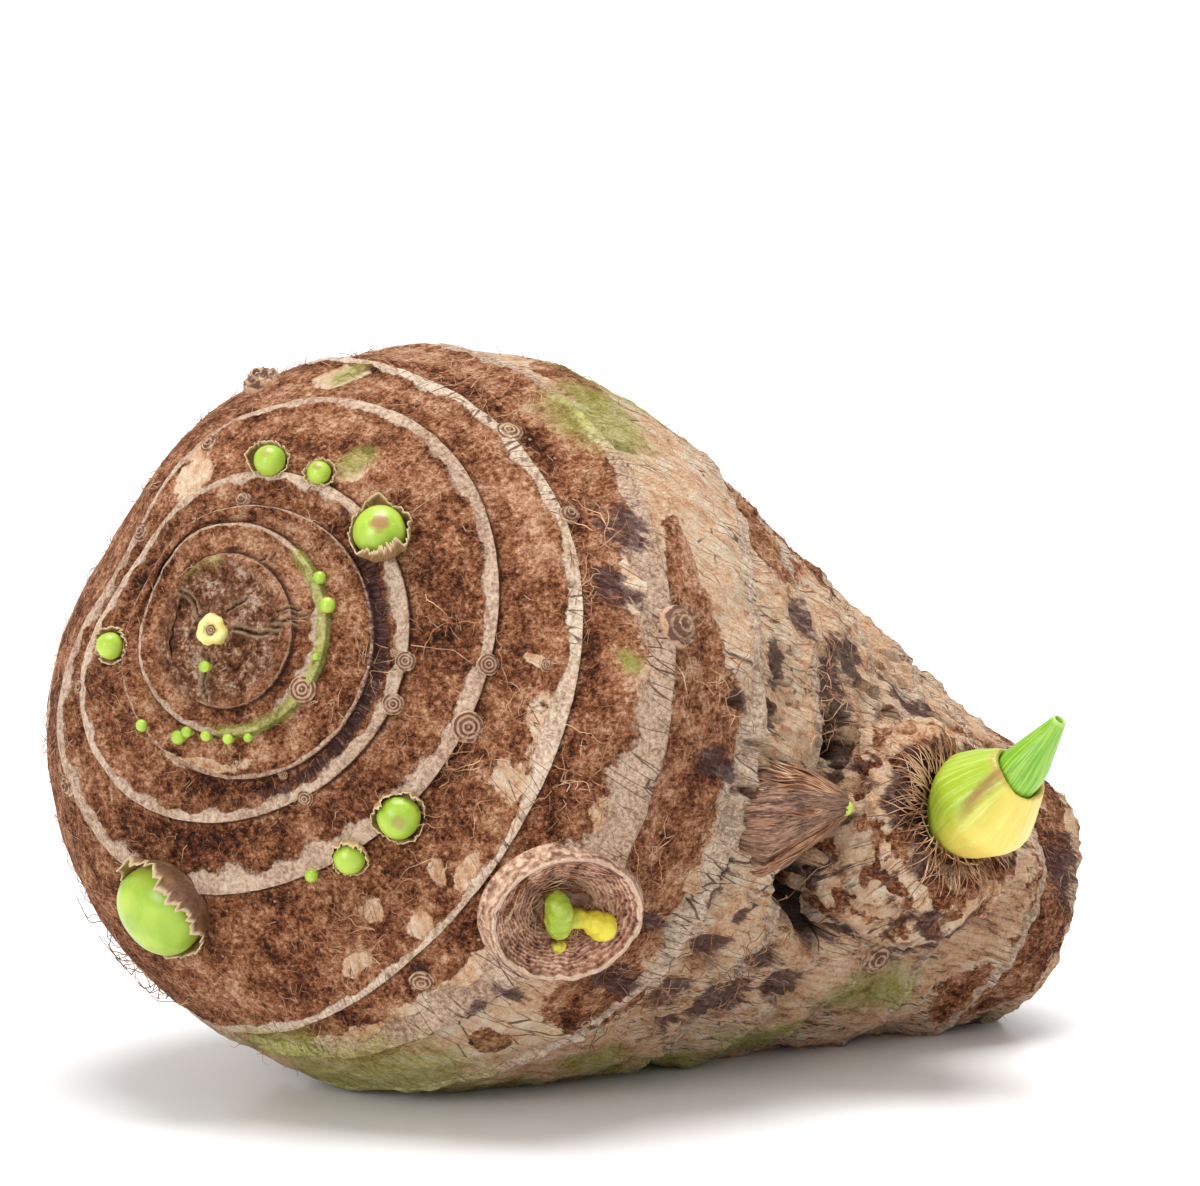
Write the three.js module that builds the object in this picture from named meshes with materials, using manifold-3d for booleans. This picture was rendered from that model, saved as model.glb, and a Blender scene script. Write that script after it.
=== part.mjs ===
import * as THREE from "three";
import { mergeVertices } from "three/addons/utils/BufferGeometryUtils.js";
import Module from "manifold-3d";

// A taro corm lying on its side, in millimetres, +Z up. +X runs from the crown dome to the cut end
// of the neck. The origin is on the surface it lies on, under the middle of its bounding box.
const wasm = await Module();
wasm.setup();

// The corm lies on a flat worn this deep into its lowest side. Its own measures are taken from
// before that wear, and STAND moves them to the origin.
const WORN_FLAT = 0.9;
const STAND = new THREE.Vector3(14, -5.4, -WORN_FLAT);

// The curved line through the middle of the corm, from the pole of the dome into the neck.
const MIDDLE_LINE = new THREE.CubicBezierCurve3(
  new THREE.Vector3(-77, 0, 63.4),
  new THREE.Vector3(-49.5, 18.3, 55.8),
  new THREE.Vector3(-39.5, 12, 44.8),
  new THREE.Vector3(94.5, 0, 1.6),
);
const MIDDLE_LENGTH = MIDDLE_LINE.getLength();

// Radius of the corm along that line: distance from the pole, then radius.
const OUTLINE = new THREE.SplineCurve([
  new THREE.Vector2(0, 0),
  new THREE.Vector2(0.5, 5),
  new THREE.Vector2(1.7, 11),
  new THREE.Vector2(3.7, 18),
  new THREE.Vector2(7, 25),
  new THREE.Vector2(12, 32),
  new THREE.Vector2(20, 39.5),
  new THREE.Vector2(31, 45.5),
  new THREE.Vector2(43, 48),
  new THREE.Vector2(57, 46.2),
  new THREE.Vector2(71, 41.6),
  new THREE.Vector2(85, 36.2),
  new THREE.Vector2(99, 31),
  new THREE.Vector2(113, 26),
  new THREE.Vector2(127, 21.3),
  new THREE.Vector2(140, 17),
]);
OUTLINE.arcLengthDivisions = 1200;
const SKIN_LENGTH = OUTLINE.getLength();

// Broad flats and swellings of the dome: amount, angle, angle spread, distance, distance spread.
const SWELLINGS = [
  { amount: -4, angle: 156, spread: 34, distance: 34, reach: 25 },
  { amount: 2, angle: -118, spread: 44, distance: 48, reach: 14 },
  { amount: 1.2, angle: -94, spread: 40, distance: 80, reach: 20 },
];

// Lumps of the skin: nearly none on the dome, up to a millimetre and more on the corky neck.
const DOME_LUMP = 0.2;
const NECK_LUMP = 1.1;
const LUMPS_BEGIN = 70;
const LUMPS_FULL = 135;
const BROAD_LUMP = 1.1;
const FINE_LUMP = 0.5;

// Leaf scars round the corm. Each goes round at its own distance along the skin from the pole,
// which changes with the angle as one, two and three waves (near the viewer, then upwards).
// band is the width of the pale scar and step the drop at its outer edge.
const SCARS = [
  { at: 9, once: [1.6, 0.2], twice: [-0.4, -0.2], thrice: [0, 0], band: 0.8, step: 0.7 },
  { at: 13.1, once: [1.5, 0.5], twice: [-0.1, -0.1], thrice: [0, 0], band: 0.8, step: 0.9 },
  { at: 17, once: [3.4, -1], twice: [0.2, 0], thrice: [0, 0], band: 0.9, step: 1.2 },
  { at: 22.6, once: [2, -2], twice: [0.2, 1.6], thrice: [0.2, -0.4], band: 1.5, step: 0.8 },
  { at: 32, once: [5.8, -1.2], twice: [-1.4, 3.6], thrice: [0.2, -0.8], band: 1.8, step: 0.8 },
  { at: 52.5, once: [-1, -5], twice: [1, -0.5], thrice: [1, 1.5], band: 2.2, step: 0.8 },
  { at: 65.5, once: [3.5, -2.5], twice: [6, -1.5], thrice: [0.5, 0.5], band: 2.4, step: 0.9 },
  { at: 87, once: [5.5, 4.5], twice: [3.5, 0], thrice: [0.5, -3.5], band: 1.8, step: 1 },
  { at: 107, once: [1.5, -3], twice: [1, -1], thrice: [1, 0.5], band: 1.6, step: 1 },
  { at: 121, once: [1, -1], twice: [1, 0.5], thrice: [0, 0.5], band: 1.4, step: 0.9 },
  { at: 133, once: [1.5, 1], twice: [0, 1], thrice: [0.5, 0], band: 1.4, step: 0.9 },
  { at: 147, once: [-1, 1], twice: [1, 0], thrice: [0, 0], band: 1.2, step: 0.8 },
  { at: 160, once: [1, 0], twice: [0, 1], thrice: [0, 0], band: 1.2, step: 0.7 },
];
const GROOVE_WIDTH = 0.9;
const NARROW_BAND = 1;
const NECK_SCARS_FROM = 107;

// How much of a scar's rise the skin has at the end of its slope, just before the raised band, and
// at the band's start. BAND_FOOT is how far before the band it starts to rise.
const SLOPE_SHARE = 0.3;
const FOOT_SHARE = 0.35;
const BAND_SHARE = 0.8;
const BAND_FOOT = 0.5;
const END_ROW_BEFORE = 5;

// Facets: columns round the corm, half as many near the pole and on the cut end.
const COLUMNS = 48;
const ROW_SPACING = 5.5;
const POLE_ROWS = [1.6, 4.4];

// The cut end of the neck is dished a little, with a rough face.
const END_FACE_ROWS = [0.72, 0.36];
const END_DISH = 1.2;

// Gap between a bud and its socket, so that two pieces never touch.
const GAP = 0.35;

const BROWN = 0x8a5a3e;
const SCALE_BROWN = 0x9a6238;
const BUD_GREEN = 0x9fc93c;
const SPROUT_GREEN = 0xa8b030;
const SHEATH_GREEN = 0xb9d64a;
const LEAF_GREEN = 0x7fb832;

const UPRIGHT = new THREE.Vector3(0, 1, 0);
const radians = THREE.MathUtils.degToRad;
const lerp = THREE.MathUtils.lerp;
const clamp = THREE.MathUtils.clamp;
const smoothstep = THREE.MathUtils.smoothstep;

// Smallest signed difference of two angles, in degrees.
function angleBetween(a, b) {
  return THREE.MathUtils.euclideanModulo(a - b + 180, 360) - 180;
}

// Directions at a place on the middle line: along it, towards the near side, and upwards.
function directionsAt(height) {
  const share = clamp(height / MIDDLE_LENGTH, 0, 1);
  const centre = MIDDLE_LINE.getPointAt(share);
  const along = MIDDLE_LINE.getTangentAt(share);
  const near = new THREE.Vector3().crossVectors(along, new THREE.Vector3(0, 0, 1)).normalize();
  const top = new THREE.Vector3().crossVectors(near, along);
  return { centre, along, near, top };
}

// A place on the smooth skin, by distance along it from the pole and angle in degrees (0 on the
// near side, 90 on top), with its outward direction.
function skinAt(distance, angle) {
  const share = clamp(distance / SKIN_LENGTH, 0, 1);
  const spot = OUTLINE.getPointAt(share);
  const slope = OUTLINE.getTangentAt(share);
  const { centre, along, near, top } = directionsAt(spot.x);
  const turn = radians(angle);
  const sideways = near.clone().multiplyScalar(Math.cos(turn)).addScaledVector(top, Math.sin(turn));
  const round = top.clone().multiplyScalar(Math.cos(turn)).addScaledVector(near, -Math.sin(turn));
  const outward = sideways.clone().multiplyScalar(slope.x).addScaledVector(along, -slope.y).normalize();
  const point = centre.addScaledVector(sideways, spot.y);
  return { point, outward, round, along };
}

function swellingAt(distance, angle) {
  let total = 0;
  for (const swelling of SWELLINGS) {
    const round = angleBetween(angle, swelling.angle) / swelling.spread;
    const down = (distance - swelling.distance) / swelling.reach;
    total += swelling.amount * Math.exp(-round * round - down * down);
  }
  return total;
}

function lumpAt(point, distance) {
  const size = lerp(DOME_LUMP, NECK_LUMP, smoothstep(distance, LUMPS_BEGIN, LUMPS_FULL));
  const broad = Math.sin(point.x / 6.1 + 1.3) * Math.sin(point.y / 7.3 + 0.4) * Math.sin(point.z / 6.7 + 2.1);
  const fine = Math.sin(point.x / 3.3 + point.z / 4.1) * Math.sin(point.y / 3.7 - point.z / 5.9);
  return size * (BROAD_LUMP * broad + FINE_LUMP * fine);
}

// A place on the finished skin: swollen, lumpy, and raised by lift.
function skinPoint(distance, angle, lift) {
  const { point, outward } = skinAt(distance, angle);
  const rise = swellingAt(distance, angle) + lumpAt(point, distance) + lift;
  return point.addScaledVector(outward, rise);
}

function scarDistance(scar, angle) {
  const turn = radians(angle);
  const waves = [scar.once, scar.twice, scar.thrice];
  let distance = scar.at;
  waves.forEach(([near, top], index) => {
    distance += near * Math.cos((index + 1) * turn) + top * Math.sin((index + 1) * turn);
  });
  return distance;
}

// Rows of the skin from the pole to the cut end. Between two scars the skin climbs from the
// groove outside the first to the edge of the second, then drops by that scar's step.
function skinRows() {
  const rows = POLE_ROWS.map((distance) => ({ place: () => distance, lift: 0, half: true }));
  SCARS.forEach((scar, index) => {
    const before = SCARS[index - 1];
    const groove = (angle) => (before ? scarDistance(before, angle) + GROOVE_WIDTH : POLE_ROWS[1]);
    const bandStart = (angle) => scarDistance(scar, angle) - scar.band;
    const low = before ? -before.step / 2 : 0;
    const high = scar.step / 2;
    const room = scar.at - (before ? before.at : POLE_ROWS[1]) - scar.band - GROOVE_WIDTH;
    const between = Math.max(0, Math.round(room / ROW_SPACING) - 1);
    if (before) {
      rows.push({ place: groove, lift: low });
    }
    for (let step = 1; step <= between; step += 1) {
      const share = step / (between + 1);
      rows.push({
        place: (angle) => lerp(groove(angle), bandStart(angle), share),
        lift: lerp(low, high * SLOPE_SHARE, share),
      });
    }
    if (scar.band > NARROW_BAND && scar.at < NECK_SCARS_FROM) {
      rows.push({ place: (angle) => bandStart(angle) - BAND_FOOT, lift: high * FOOT_SHARE });
    }
    rows.push({ place: bandStart, lift: high * BAND_SHARE });
    rows.push({ place: (angle) => scarDistance(scar, angle), lift: high });
  });
  const last = SCARS.at(-1);
  rows.push({ place: (angle) => scarDistance(last, angle) + GROOVE_WIDTH, lift: -last.step / 2 });
  rows.push({ place: () => SKIN_LENGTH - END_ROW_BEFORE, lift: 0 });
  rows.push({ place: () => SKIN_LENGTH, lift: 0 });
  return rows;
}

// Closed skin of triangles through rings of points, each ring full or half as fine as COLUMNS,
// with a point closing either end.
function skinOf(rings, first, last) {
  const positions = [];
  const triangles = [];
  const starts = [];
  const push = (point) => positions.push(point.x, point.y, point.z);
  push(first);
  for (const ring of rings) {
    starts.push(positions.length / 3);
    ring.forEach(push);
  }
  const end = positions.length / 3;
  push(last);
  const at = (ring, index) => starts[ring] + (index % rings[ring].length);
  for (let index = 0; index < rings[0].length; index += 1) {
    triangles.push(0, at(0, index), at(0, index + 1));
  }
  for (let ring = 0; ring + 1 < rings.length; ring += 1) {
    const upper = rings[ring].length;
    const lower = rings[ring + 1].length;
    for (let index = 0; index < Math.min(upper, lower); index += 1) {
      if (upper === lower) {
        triangles.push(at(ring, index), at(ring + 1, index + 1), at(ring, index + 1));
        triangles.push(at(ring, index), at(ring + 1, index), at(ring + 1, index + 1));
      } else if (upper < lower) {
        const under = 2 * index;
        triangles.push(at(ring, index), at(ring + 1, under), at(ring + 1, under + 1));
        triangles.push(at(ring, index), at(ring + 1, under + 1), at(ring, index + 1));
        triangles.push(at(ring, index + 1), at(ring + 1, under + 1), at(ring + 1, under + 2));
      } else {
        const over = 2 * index;
        triangles.push(at(ring, over), at(ring + 1, index), at(ring, over + 1));
        triangles.push(at(ring, over + 1), at(ring + 1, index), at(ring + 1, index + 1));
        triangles.push(at(ring, over + 1), at(ring + 1, index + 1), at(ring, over + 2));
      }
    }
  }
  const foot = rings.length - 1;
  for (let index = 0; index < rings[foot].length; index += 1) {
    triangles.push(end, at(foot, index + 1), at(foot, index));
  }
  const geometry = new THREE.BufferGeometry();
  geometry.setAttribute("position", new THREE.Float32BufferAttribute(positions, 3));
  geometry.setIndex(triangles);
  return geometry;
}

function cormSkin() {
  const rings = skinRows().map((row) => {
    const count = row.half ? COLUMNS / 2 : COLUMNS;
    return Array.from({ length: count }, (_, index) => {
      const angle = (360 * index) / count;
      return skinPoint(row.place(angle), angle, row.lift);
    });
  });
  const rim = rings[rings.length - 1];
  const { centre, along } = directionsAt(OUTLINE.getPointAt(1).x);
  centre.addScaledVector(along, -END_DISH);
  for (const share of END_FACE_ROWS) {
    const count = COLUMNS / 2;
    rings.push(Array.from({ length: count }, (_, index) => centre.clone().lerp(rim[2 * index], share)));
  }
  return skinOf(rings, skinPoint(0, 0, 0), centre);
}

// Joins and cuts are made on closed solids with shared corners.
function solid(geometry) {
  geometry.deleteAttribute("normal");
  geometry.deleteAttribute("uv");
  const merged = mergeVertices(geometry, 1e-4);
  const vertProperties = new Float32Array(merged.attributes.position.array);
  const triVerts = new Uint32Array(merged.index.array);
  return new wasm.Manifold(new wasm.Mesh({ numProp: 3, vertProperties, triVerts }));
}

function geometryOf(manifold) {
  const mesh = manifold.getMesh();
  const geometry = new THREE.BufferGeometry();
  geometry.setAttribute("position", new THREE.BufferAttribute(mesh.vertProperties, 3));
  geometry.setIndex(new THREE.BufferAttribute(mesh.triVerts, 1));
  geometry.computeVertexNormals();
  return geometry;
}

// A turned shape: pairs of radius and height, standing on a place and pointing along a direction.
function turned(pairs, segments, place, direction) {
  const points = pairs.map(([radius, height]) => new THREE.Vector2(Math.max(radius, 0), height));
  const geometry = new THREE.LatheGeometry(points, segments);
  const upright = new THREE.Quaternion().setFromUnitVectors(UPRIGHT, direction);
  geometry.applyQuaternion(upright);
  geometry.translate(place.x, place.y, place.z);
  return geometry;
}

// Sets a shape that stands upright on y onto a spot of the skin: x round the corm, y outwards.
function seated(geometry, spot) {
  const { point, outward, round } = placeOf(spot);
  const third = new THREE.Vector3().crossVectors(round, outward);
  geometry.applyMatrix4(new THREE.Matrix4().makeBasis(round, outward, third));
  geometry.translate(point.x, point.y, point.z);
  return geometry;
}

// A closed tube through a list of centres, each with its radius.
function swept(centres, radii, segments) {
  const line = new THREE.CatmullRomCurve3(centres);
  const count = centres.length;
  const side = new THREE.Vector3(0, 0, 1);
  const rings = centres.map((centre, index) => {
    const along = line.getTangent(index / (count - 1));
    const across = new THREE.Vector3().crossVectors(along, side).normalize();
    const up = new THREE.Vector3().crossVectors(across, along);
    return Array.from({ length: segments }, (_, step) => {
      const turn = (2 * Math.PI * step) / segments;
      return centre
        .clone()
        .addScaledVector(across, radii[index] * Math.cos(turn))
        .addScaledVector(up, radii[index] * Math.sin(turn));
    });
  });
  return skinOf(rings, centres[0], centres[count - 1]);
}

// Round buds. Distance and angle say where on the skin; radius, height and sink are its size,
// waist is the share of the radius at the skin, and scale the papery cuff round it, if any.
const BUDS = [
  { name: "bud_lower_left", distance: 37, angle: -102, radius: 5.9, height: 5.6, waist: 0.97 },
  { name: "bud_upper", distance: 24, angle: 36, radius: 3.3, height: 4, waist: 0.92 },
  { name: "bud_low_right", distance: 34, angle: -39, radius: 2.7, height: 3.2, waist: 0.88 },
  { name: "bud_low_middle", distance: 34, angle: -54, radius: 1.95, height: 2.3, waist: 0.85 },
  { name: "bud_top_left", distance: 22.5, angle: 82, radius: 2, height: 3, waist: 0.85 },
  { name: "bud_top_right", distance: 23.5, angle: 65, radius: 1.5, height: 2.3, waist: 0.85 },
  { name: "bud_left", distance: 15.6, angle: -171, radius: 1.7, height: 3, waist: 0.8 },
  { name: "bud_far_side", distance: 51, angle: 150, radius: 2.2, height: 2.6, waist: 0.85 },
];
const BUD_SINK = 1.6;
const BUD_SEGMENTS = 14;

function budPairs({ radius, height, waist }) {
  return [
    [0, -BUD_SINK],
    [radius * waist * 0.9, -BUD_SINK],
    [radius * waist, 0],
    [radius, height * 0.3],
    [radius * 0.94, height * 0.55],
    [radius * 0.76, height * 0.77],
    [radius * 0.45, height * 0.93],
    [0, height],
  ];
}

function budSolid(bud) {
  const { point, outward } = placeOf(bud);
  return solid(turned(budPairs(bud), BUD_SEGMENTS, point, outward));
}

// The socket in the corm is a plain round hole a little wider than the bud, or than its cuff.
function socketSolid(spot, radius) {
  const { point, outward } = placeOf(spot);
  const pairs = [
    [0, -BUD_SINK - GAP],
    [radius + GAP, -BUD_SINK - GAP],
    [radius + GAP, spot.height],
    [0, spot.height],
  ];
  return solid(turned(pairs, BUD_SEGMENTS, point, outward));
}

// Papery cuffs: the torn brown scale that a bud has pushed through. The edge goes up and down.
const CUFFS = [
  { name: "scale_lower_left", bud: BUDS[0], wall: 0.7, low: 0.9, high: 3.6, tall: 48, teeth: 5 },
  { name: "scale_upper", bud: BUDS[1], wall: 0.65, low: 1, high: 2.9, tall: -60, teeth: 4 },
];
const CUFF_SINK = 1.2;
const CUFF_SEGMENTS = 24;
const CUFF_FLARE = 0.35;
const CUFF_TOOTH = 0.35;
const CUFF_SMALL_TOOTH = 0.2;

function cuffSolid(cuff) {
  const { point, outward } = placeOf(cuff.bud);
  const inner = cuff.bud.radius + GAP;
  const outer = inner + cuff.wall;
  const positions = [];
  const triangles = [];
  for (let step = 0; step < CUFF_SEGMENTS; step += 1) {
    const degrees = (360 * step) / CUFF_SEGMENTS;
    const turn = radians(degrees);
    const tallness = 0.5 + 0.5 * Math.cos(radians(degrees - cuff.tall));
    const small = CUFF_SMALL_TOOTH * Math.sin((2 * cuff.teeth + 1) * turn);
    const tooth = CUFF_TOOTH * Math.sin(cuff.teeth * turn) + small;
    const height = lerp(cuff.low, cuff.high, tallness) + tooth;
    const flare = CUFF_FLARE * tallness;
    const corners = [
      [outer, -CUFF_SINK],
      [outer + flare, height],
      [inner + flare, height],
      [inner, -CUFF_SINK],
    ];
    for (const [radius, level] of corners) {
      positions.push(radius * Math.cos(turn), level, -radius * Math.sin(turn));
    }
    const here = 4 * step;
    const next = 4 * ((step + 1) % CUFF_SEGMENTS);
    for (let side = 0; side < 4; side += 1) {
      const other = (side + 1) % 4;
      triangles.push(here + side, next + side, next + other);
      triangles.push(here + side, next + other, here + other);
    }
  }
  const geometry = new THREE.BufferGeometry();
  geometry.setAttribute("position", new THREE.Float32BufferAttribute(positions, 3));
  geometry.setIndex(triangles);
  geometry.applyQuaternion(new THREE.Quaternion().setFromUnitVectors(UPRIGHT, outward));
  geometry.translate(point.x, point.y, point.z);
  return solid(geometry);
}

// Brown knobs where buds have dried up, and the tiny buds of the second scar: all part of the corm.
// Distance, angle, radius and height.
const KNOBS = [
  [36, -14, 1.8, 1], [36.5, 0, 1.2, 0.8], [25, -4, 1.1, 0.8], [25, -17, 1.2, 0.9],
  [24, -57, 0.9, 0.6], [13.8, -28, 1.4, 0.6], [17, 87, 0.9, 1.3], [51.5, 33, 1, 1],
  [47.5, 52, 1.4, 0.6], [46.5, 4, 1, 0.6], [73, 21, 2.4, 2.2], [33.5, -64, 1.5, 1.1],
  [40, 106, 2.2, 2.4], [21, 140, 1.2, 0.9], [23, -160, 1.1, 0.8], [33, -140, 1.4, 1],
  [27, 108, 1.3, 0.8], [54, 128, 1.8, 1.2], [52.5, 165, 1.3, 0.9], [57, -150, 1.7, 1.1],
  [68, 150, 2, 1.3], [64, -170, 1.4, 0.9], [63, -120, 1.6, 1], [85, 118, 2.3, 1.6],
  [86, -165, 1.9, 1.4], [104, 160, 2.4, 1.8], [107, -135, 2, 1.4], [124, 130, 2.6, 2],
  [132, -160, 2.2, 1.8], [145, 100, 2.2, 1.8],
];
const TINY_BUDS = [
  [15, 30, 0.8, 1], [15, 16, 1, 1.2], [13, -103, 0.7, 0.9], [13, -91, 0.7, 0.9],
  [13.5, -78, 0.7, 0.9], [14, -67, 0.6, 0.8], [14, -107, 0.9, 1.2], [15.5, -128, 0.8, 1],
];
const KNOB_SEGMENTS = 8;
const KNOB_SINK = 1.4;

function knobSolid([distance, angle, radius, height]) {
  const { point, outward } = placeOf({ distance, angle });
  const pairs = [[0, -KNOB_SINK], [radius, -KNOB_SINK], [radius * 0.9, height * 0.6], [0, height]];
  return solid(turned(pairs, KNOB_SEGMENTS, point, outward));
}

// The growing point in the middle of the dome: a raised disc with a dimple.
const POLE_DISC = [[0, -1.5], [1.9, -1.5], [1.8, 0.5], [0.9, 0.7], [0.7, 0.2], [0, 0.2]];
const POLE_DISC_SEGMENTS = 12;

// The torn bud low on the side: a raised oval rim round a bowl, longer along the corm than round
// it, with the rest of a sprout in it.
const TORN_BUD = { distance: 71.5, angle: -26 };
const TORN_STRETCH = 1.3;
const TORN_RIM = [[6.2, -1.5], [8.5, -1.5], [7.9, 0.3], [7.3, 0.9], [6.7, 0.8]];
const TORN_BOWL = [[0, -2], [2.6, -2.2], [4.2, -2.9], [5.6, -2.1], [6.5, -0.4], [6.7, 3], [0, 3]];
const TORN_SEGMENTS = 20;
const SPROUT = { wide: 2.4, long: 4.4, height: 1.6, sink: 3.4, foot: 0.8, lobes: 3, lobe: 0.16 };
const SPROUT_SEGMENTS = 24;
const SPROUT_ROWS = 3;

// The hairy brown cone bud on the neck, which leans outwards and a little upwards, and the dark
// clefts between it and the side cormel.
const CONE_BUD = { distance: 103, angle: 1, length: 12, base: 8, tip: 1.6, sink: 3.5 };
const CONE_LEAN = { outward: 0.375, round: 0.47 };
const CONE_STATIONS = [0, 0.3, 0.6, 0.85, 1];
const CONE_TAPER = 1.15;
const CONE_SEGMENTS = 16;
const CLEFTS = [
  { distance: 117, angle: -5, wide: 2.4, tall: 8, deep: 5 },
  { distance: 112, angle: 22, wide: 2, tall: 6, deep: 3 },
];
const CLEFT_SEGMENTS = 10;
const CLEFT_ROWS = 6;

// The side cormel, a stub that grew out of the neck, with a shoot at its end.
const CORMEL = { distance: 130, angle: 8 };
const CORMEL_DIRECTION = new THREE.Vector3(0.1, -0.94, 0.31).normalize();
const CORMEL_PAIRS = [
  [0, -12], [13, -12], [13.8, -3], [13.4, 2], [12.8, 6], [11.9, 9], [10.6, 10.6],
  [9.2, 10.4], [7.2, 9.6], [0, 9.4],
];
const CORMEL_SEGMENTS = 22;

// The leaf sheath of the shoot and the rolled leaf in it: centres on a gentle bend, and radii.
const SHEATH_FOOT = new THREE.Vector3(1.6, -8.6, 1.2);
const SHEATH_DIRECTION = new THREE.Vector3(0.21, -0.76, 0.62).normalize();
const SHEATH_STATIONS = [
  [-3, 2.8], [0, 4], [3, 5.8], [6.5, 7.2], [9.5, 6.3], [12, 5], [13.6, 4.1],
];
const LEAF_DIRECTION = new THREE.Vector3(0.19, -0.6, 0.77).normalize();
const LEAF_STATIONS = [[-4.5, 2], [-1, 3], [1.5, 3], [4.5, 2.3], [7.5, 1.5], [9.5, 0.9]];
const SHOOT_SEGMENTS = 20;

const SLAB_SIDE = 300;
const SLAB_DEPTH = 20;

function pointAlong(start, direction, distance) {
  return start.clone().addScaledVector(direction, distance);
}

function placeOf(spot) {
  const { point, outward, round, along } = skinAt(spot.distance, spot.angle);
  point.addScaledVector(outward, swellingAt(spot.distance, spot.angle));
  return { point, outward, round, along };
}

function poleDisc() {
  const { point, outward } = skinAt(0, 0);
  return solid(turned(POLE_DISC, POLE_DISC_SEGMENTS, point, outward));
}

function tornRing(pairs) {
  const geometry = turned(pairs, TORN_SEGMENTS, new THREE.Vector3(), UPRIGHT);
  geometry.scale(1, 1, TORN_STRETCH);
  return solid(seated(geometry, TORN_BUD));
}

// The torn sprout: a low lobed stump.
function sproutSolid(swell) {
  const { wide, long, height, sink, foot, lobes, lobe } = SPROUT;
  const tall = sink + height + 2 * swell;
  const geometry = new THREE.CylinderGeometry(1, foot, tall, SPROUT_SEGMENTS, SPROUT_ROWS);
  geometry.translate(0, tall / 2 - sink - swell, 0);
  const corner = geometry.attributes.position;
  for (let index = 0; index < corner.count; index += 1) {
    const x = corner.getX(index);
    const z = corner.getZ(index);
    const turn = Math.atan2(z, x);
    const reach = Math.hypot(x, z);
    const lobed = reach * (1 + lobe * Math.cos(lobes * turn));
    corner.setX(index, (wide * lobed + (reach > 0 ? swell : 0)) * Math.cos(turn));
    corner.setZ(index, (long * lobed + (reach > 0 ? swell : 0)) * Math.sin(turn));
  }
  return solid(seated(geometry, TORN_BUD));
}

function coneBud() {
  const { point, outward, round, along } = placeOf(CONE_BUD);
  const direction = along.clone().addScaledVector(outward, CONE_LEAN.outward);
  direction.addScaledVector(round, CONE_LEAN.round).normalize();
  const foot = pointAlong(point, outward, -CONE_BUD.sink);
  const radii = CONE_STATIONS.map((share) => lerp(CONE_BUD.base, CONE_BUD.tip, share ** CONE_TAPER));
  const centres = CONE_STATIONS.map((share) => pointAlong(foot, direction, CONE_BUD.length * share));
  return solid(swept(centres, radii, CONE_SEGMENTS));
}

function cleft(spot) {
  const geometry = new THREE.SphereGeometry(1, CLEFT_SEGMENTS, CLEFT_ROWS);
  geometry.scale(spot.tall, spot.deep, spot.wide);
  return solid(seated(geometry, spot));
}

function cormelSolid() {
  const { point } = placeOf(CORMEL);
  const geometry = turned(CORMEL_PAIRS, CORMEL_SEGMENTS, point, CORMEL_DIRECTION);
  const corner = geometry.attributes.position;
  const spot = new THREE.Vector3();
  const outwards = new THREE.Vector3();
  for (let index = 0; index < corner.count; index += 1) {
    spot.fromBufferAttribute(corner, index);
    outwards.subVectors(spot, point);
    outwards.addScaledVector(CORMEL_DIRECTION, -outwards.dot(CORMEL_DIRECTION));
    if (outwards.length() > 1) {
      spot.addScaledVector(outwards.normalize(), lumpAt(spot, LUMPS_FULL));
      corner.setXYZ(index, spot.x, spot.y, spot.z);
    }
  }
  return solid(geometry);
}

function stations(start, direction, list, swell) {
  const centres = list.map(([distance], index) => {
    const ends = index === 0 ? -swell : index === list.length - 1 ? swell : 0;
    return pointAlong(start, direction, distance + ends);
  });
  const radii = list.map(([, radius]) => radius + swell);
  return solid(swept(centres, radii, SHOOT_SEGMENTS));
}

const cormelPlace = placeOf(CORMEL).point;
const sheathStart = cormelPlace.clone().add(SHEATH_FOOT);
const sheathMouth = pointAlong(sheathStart, SHEATH_DIRECTION, SHEATH_STATIONS.at(-1)[0]);

function sheathSolid(swell) {
  return stations(sheathStart, SHEATH_DIRECTION, SHEATH_STATIONS, swell);
}

function leafSolid(swell) {
  return stations(sheathMouth, LEAF_DIRECTION, LEAF_STATIONS, swell);
}

// What the flat takes away: a slab from the flat downwards, wider and longer than the corm.
function slabUnderneath() {
  const geometry = new THREE.BoxGeometry(SLAB_SIDE, SLAB_SIDE, SLAB_DEPTH);
  geometry.translate(0, 0, WORN_FLAT - SLAB_DEPTH / 2);
  return solid(geometry);
}

function cormSolid() {
  let corm = solid(cormSkin());
  const grown = [poleDisc(), tornRing([...TORN_RIM, TORN_RIM[0]]), coneBud(), cormelSolid()];
  grown.push(...KNOBS.map(knobSolid), ...TINY_BUDS.map(knobSolid));
  for (const piece of grown) {
    corm = corm.add(piece);
  }
  const hollows = [slabUnderneath(), tornRing(TORN_BOWL), sproutSolid(GAP), sheathSolid(GAP)];
  hollows.push(...CLEFTS.map(cleft));
  hollows.push(...BUDS.map((bud) => socketSolid(bud, bud.radius)));
  hollows.push(...CUFFS.map((cuff) => socketSolid(cuff.bud, cuff.bud.radius + GAP + cuff.wall)));
  for (const hollow of hollows) {
    corm = corm.subtract(hollow);
  }
  return corm;
}

const group = new THREE.Group();
group.position.copy(STAND);

function addPiece(name, manifold, color, roughness) {
  const material = new THREE.MeshStandardMaterial({ color, roughness, metalness: 0 });
  const mesh = new THREE.Mesh(geometryOf(manifold), material);
  mesh.name = name;
  group.add(mesh);
}

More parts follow.
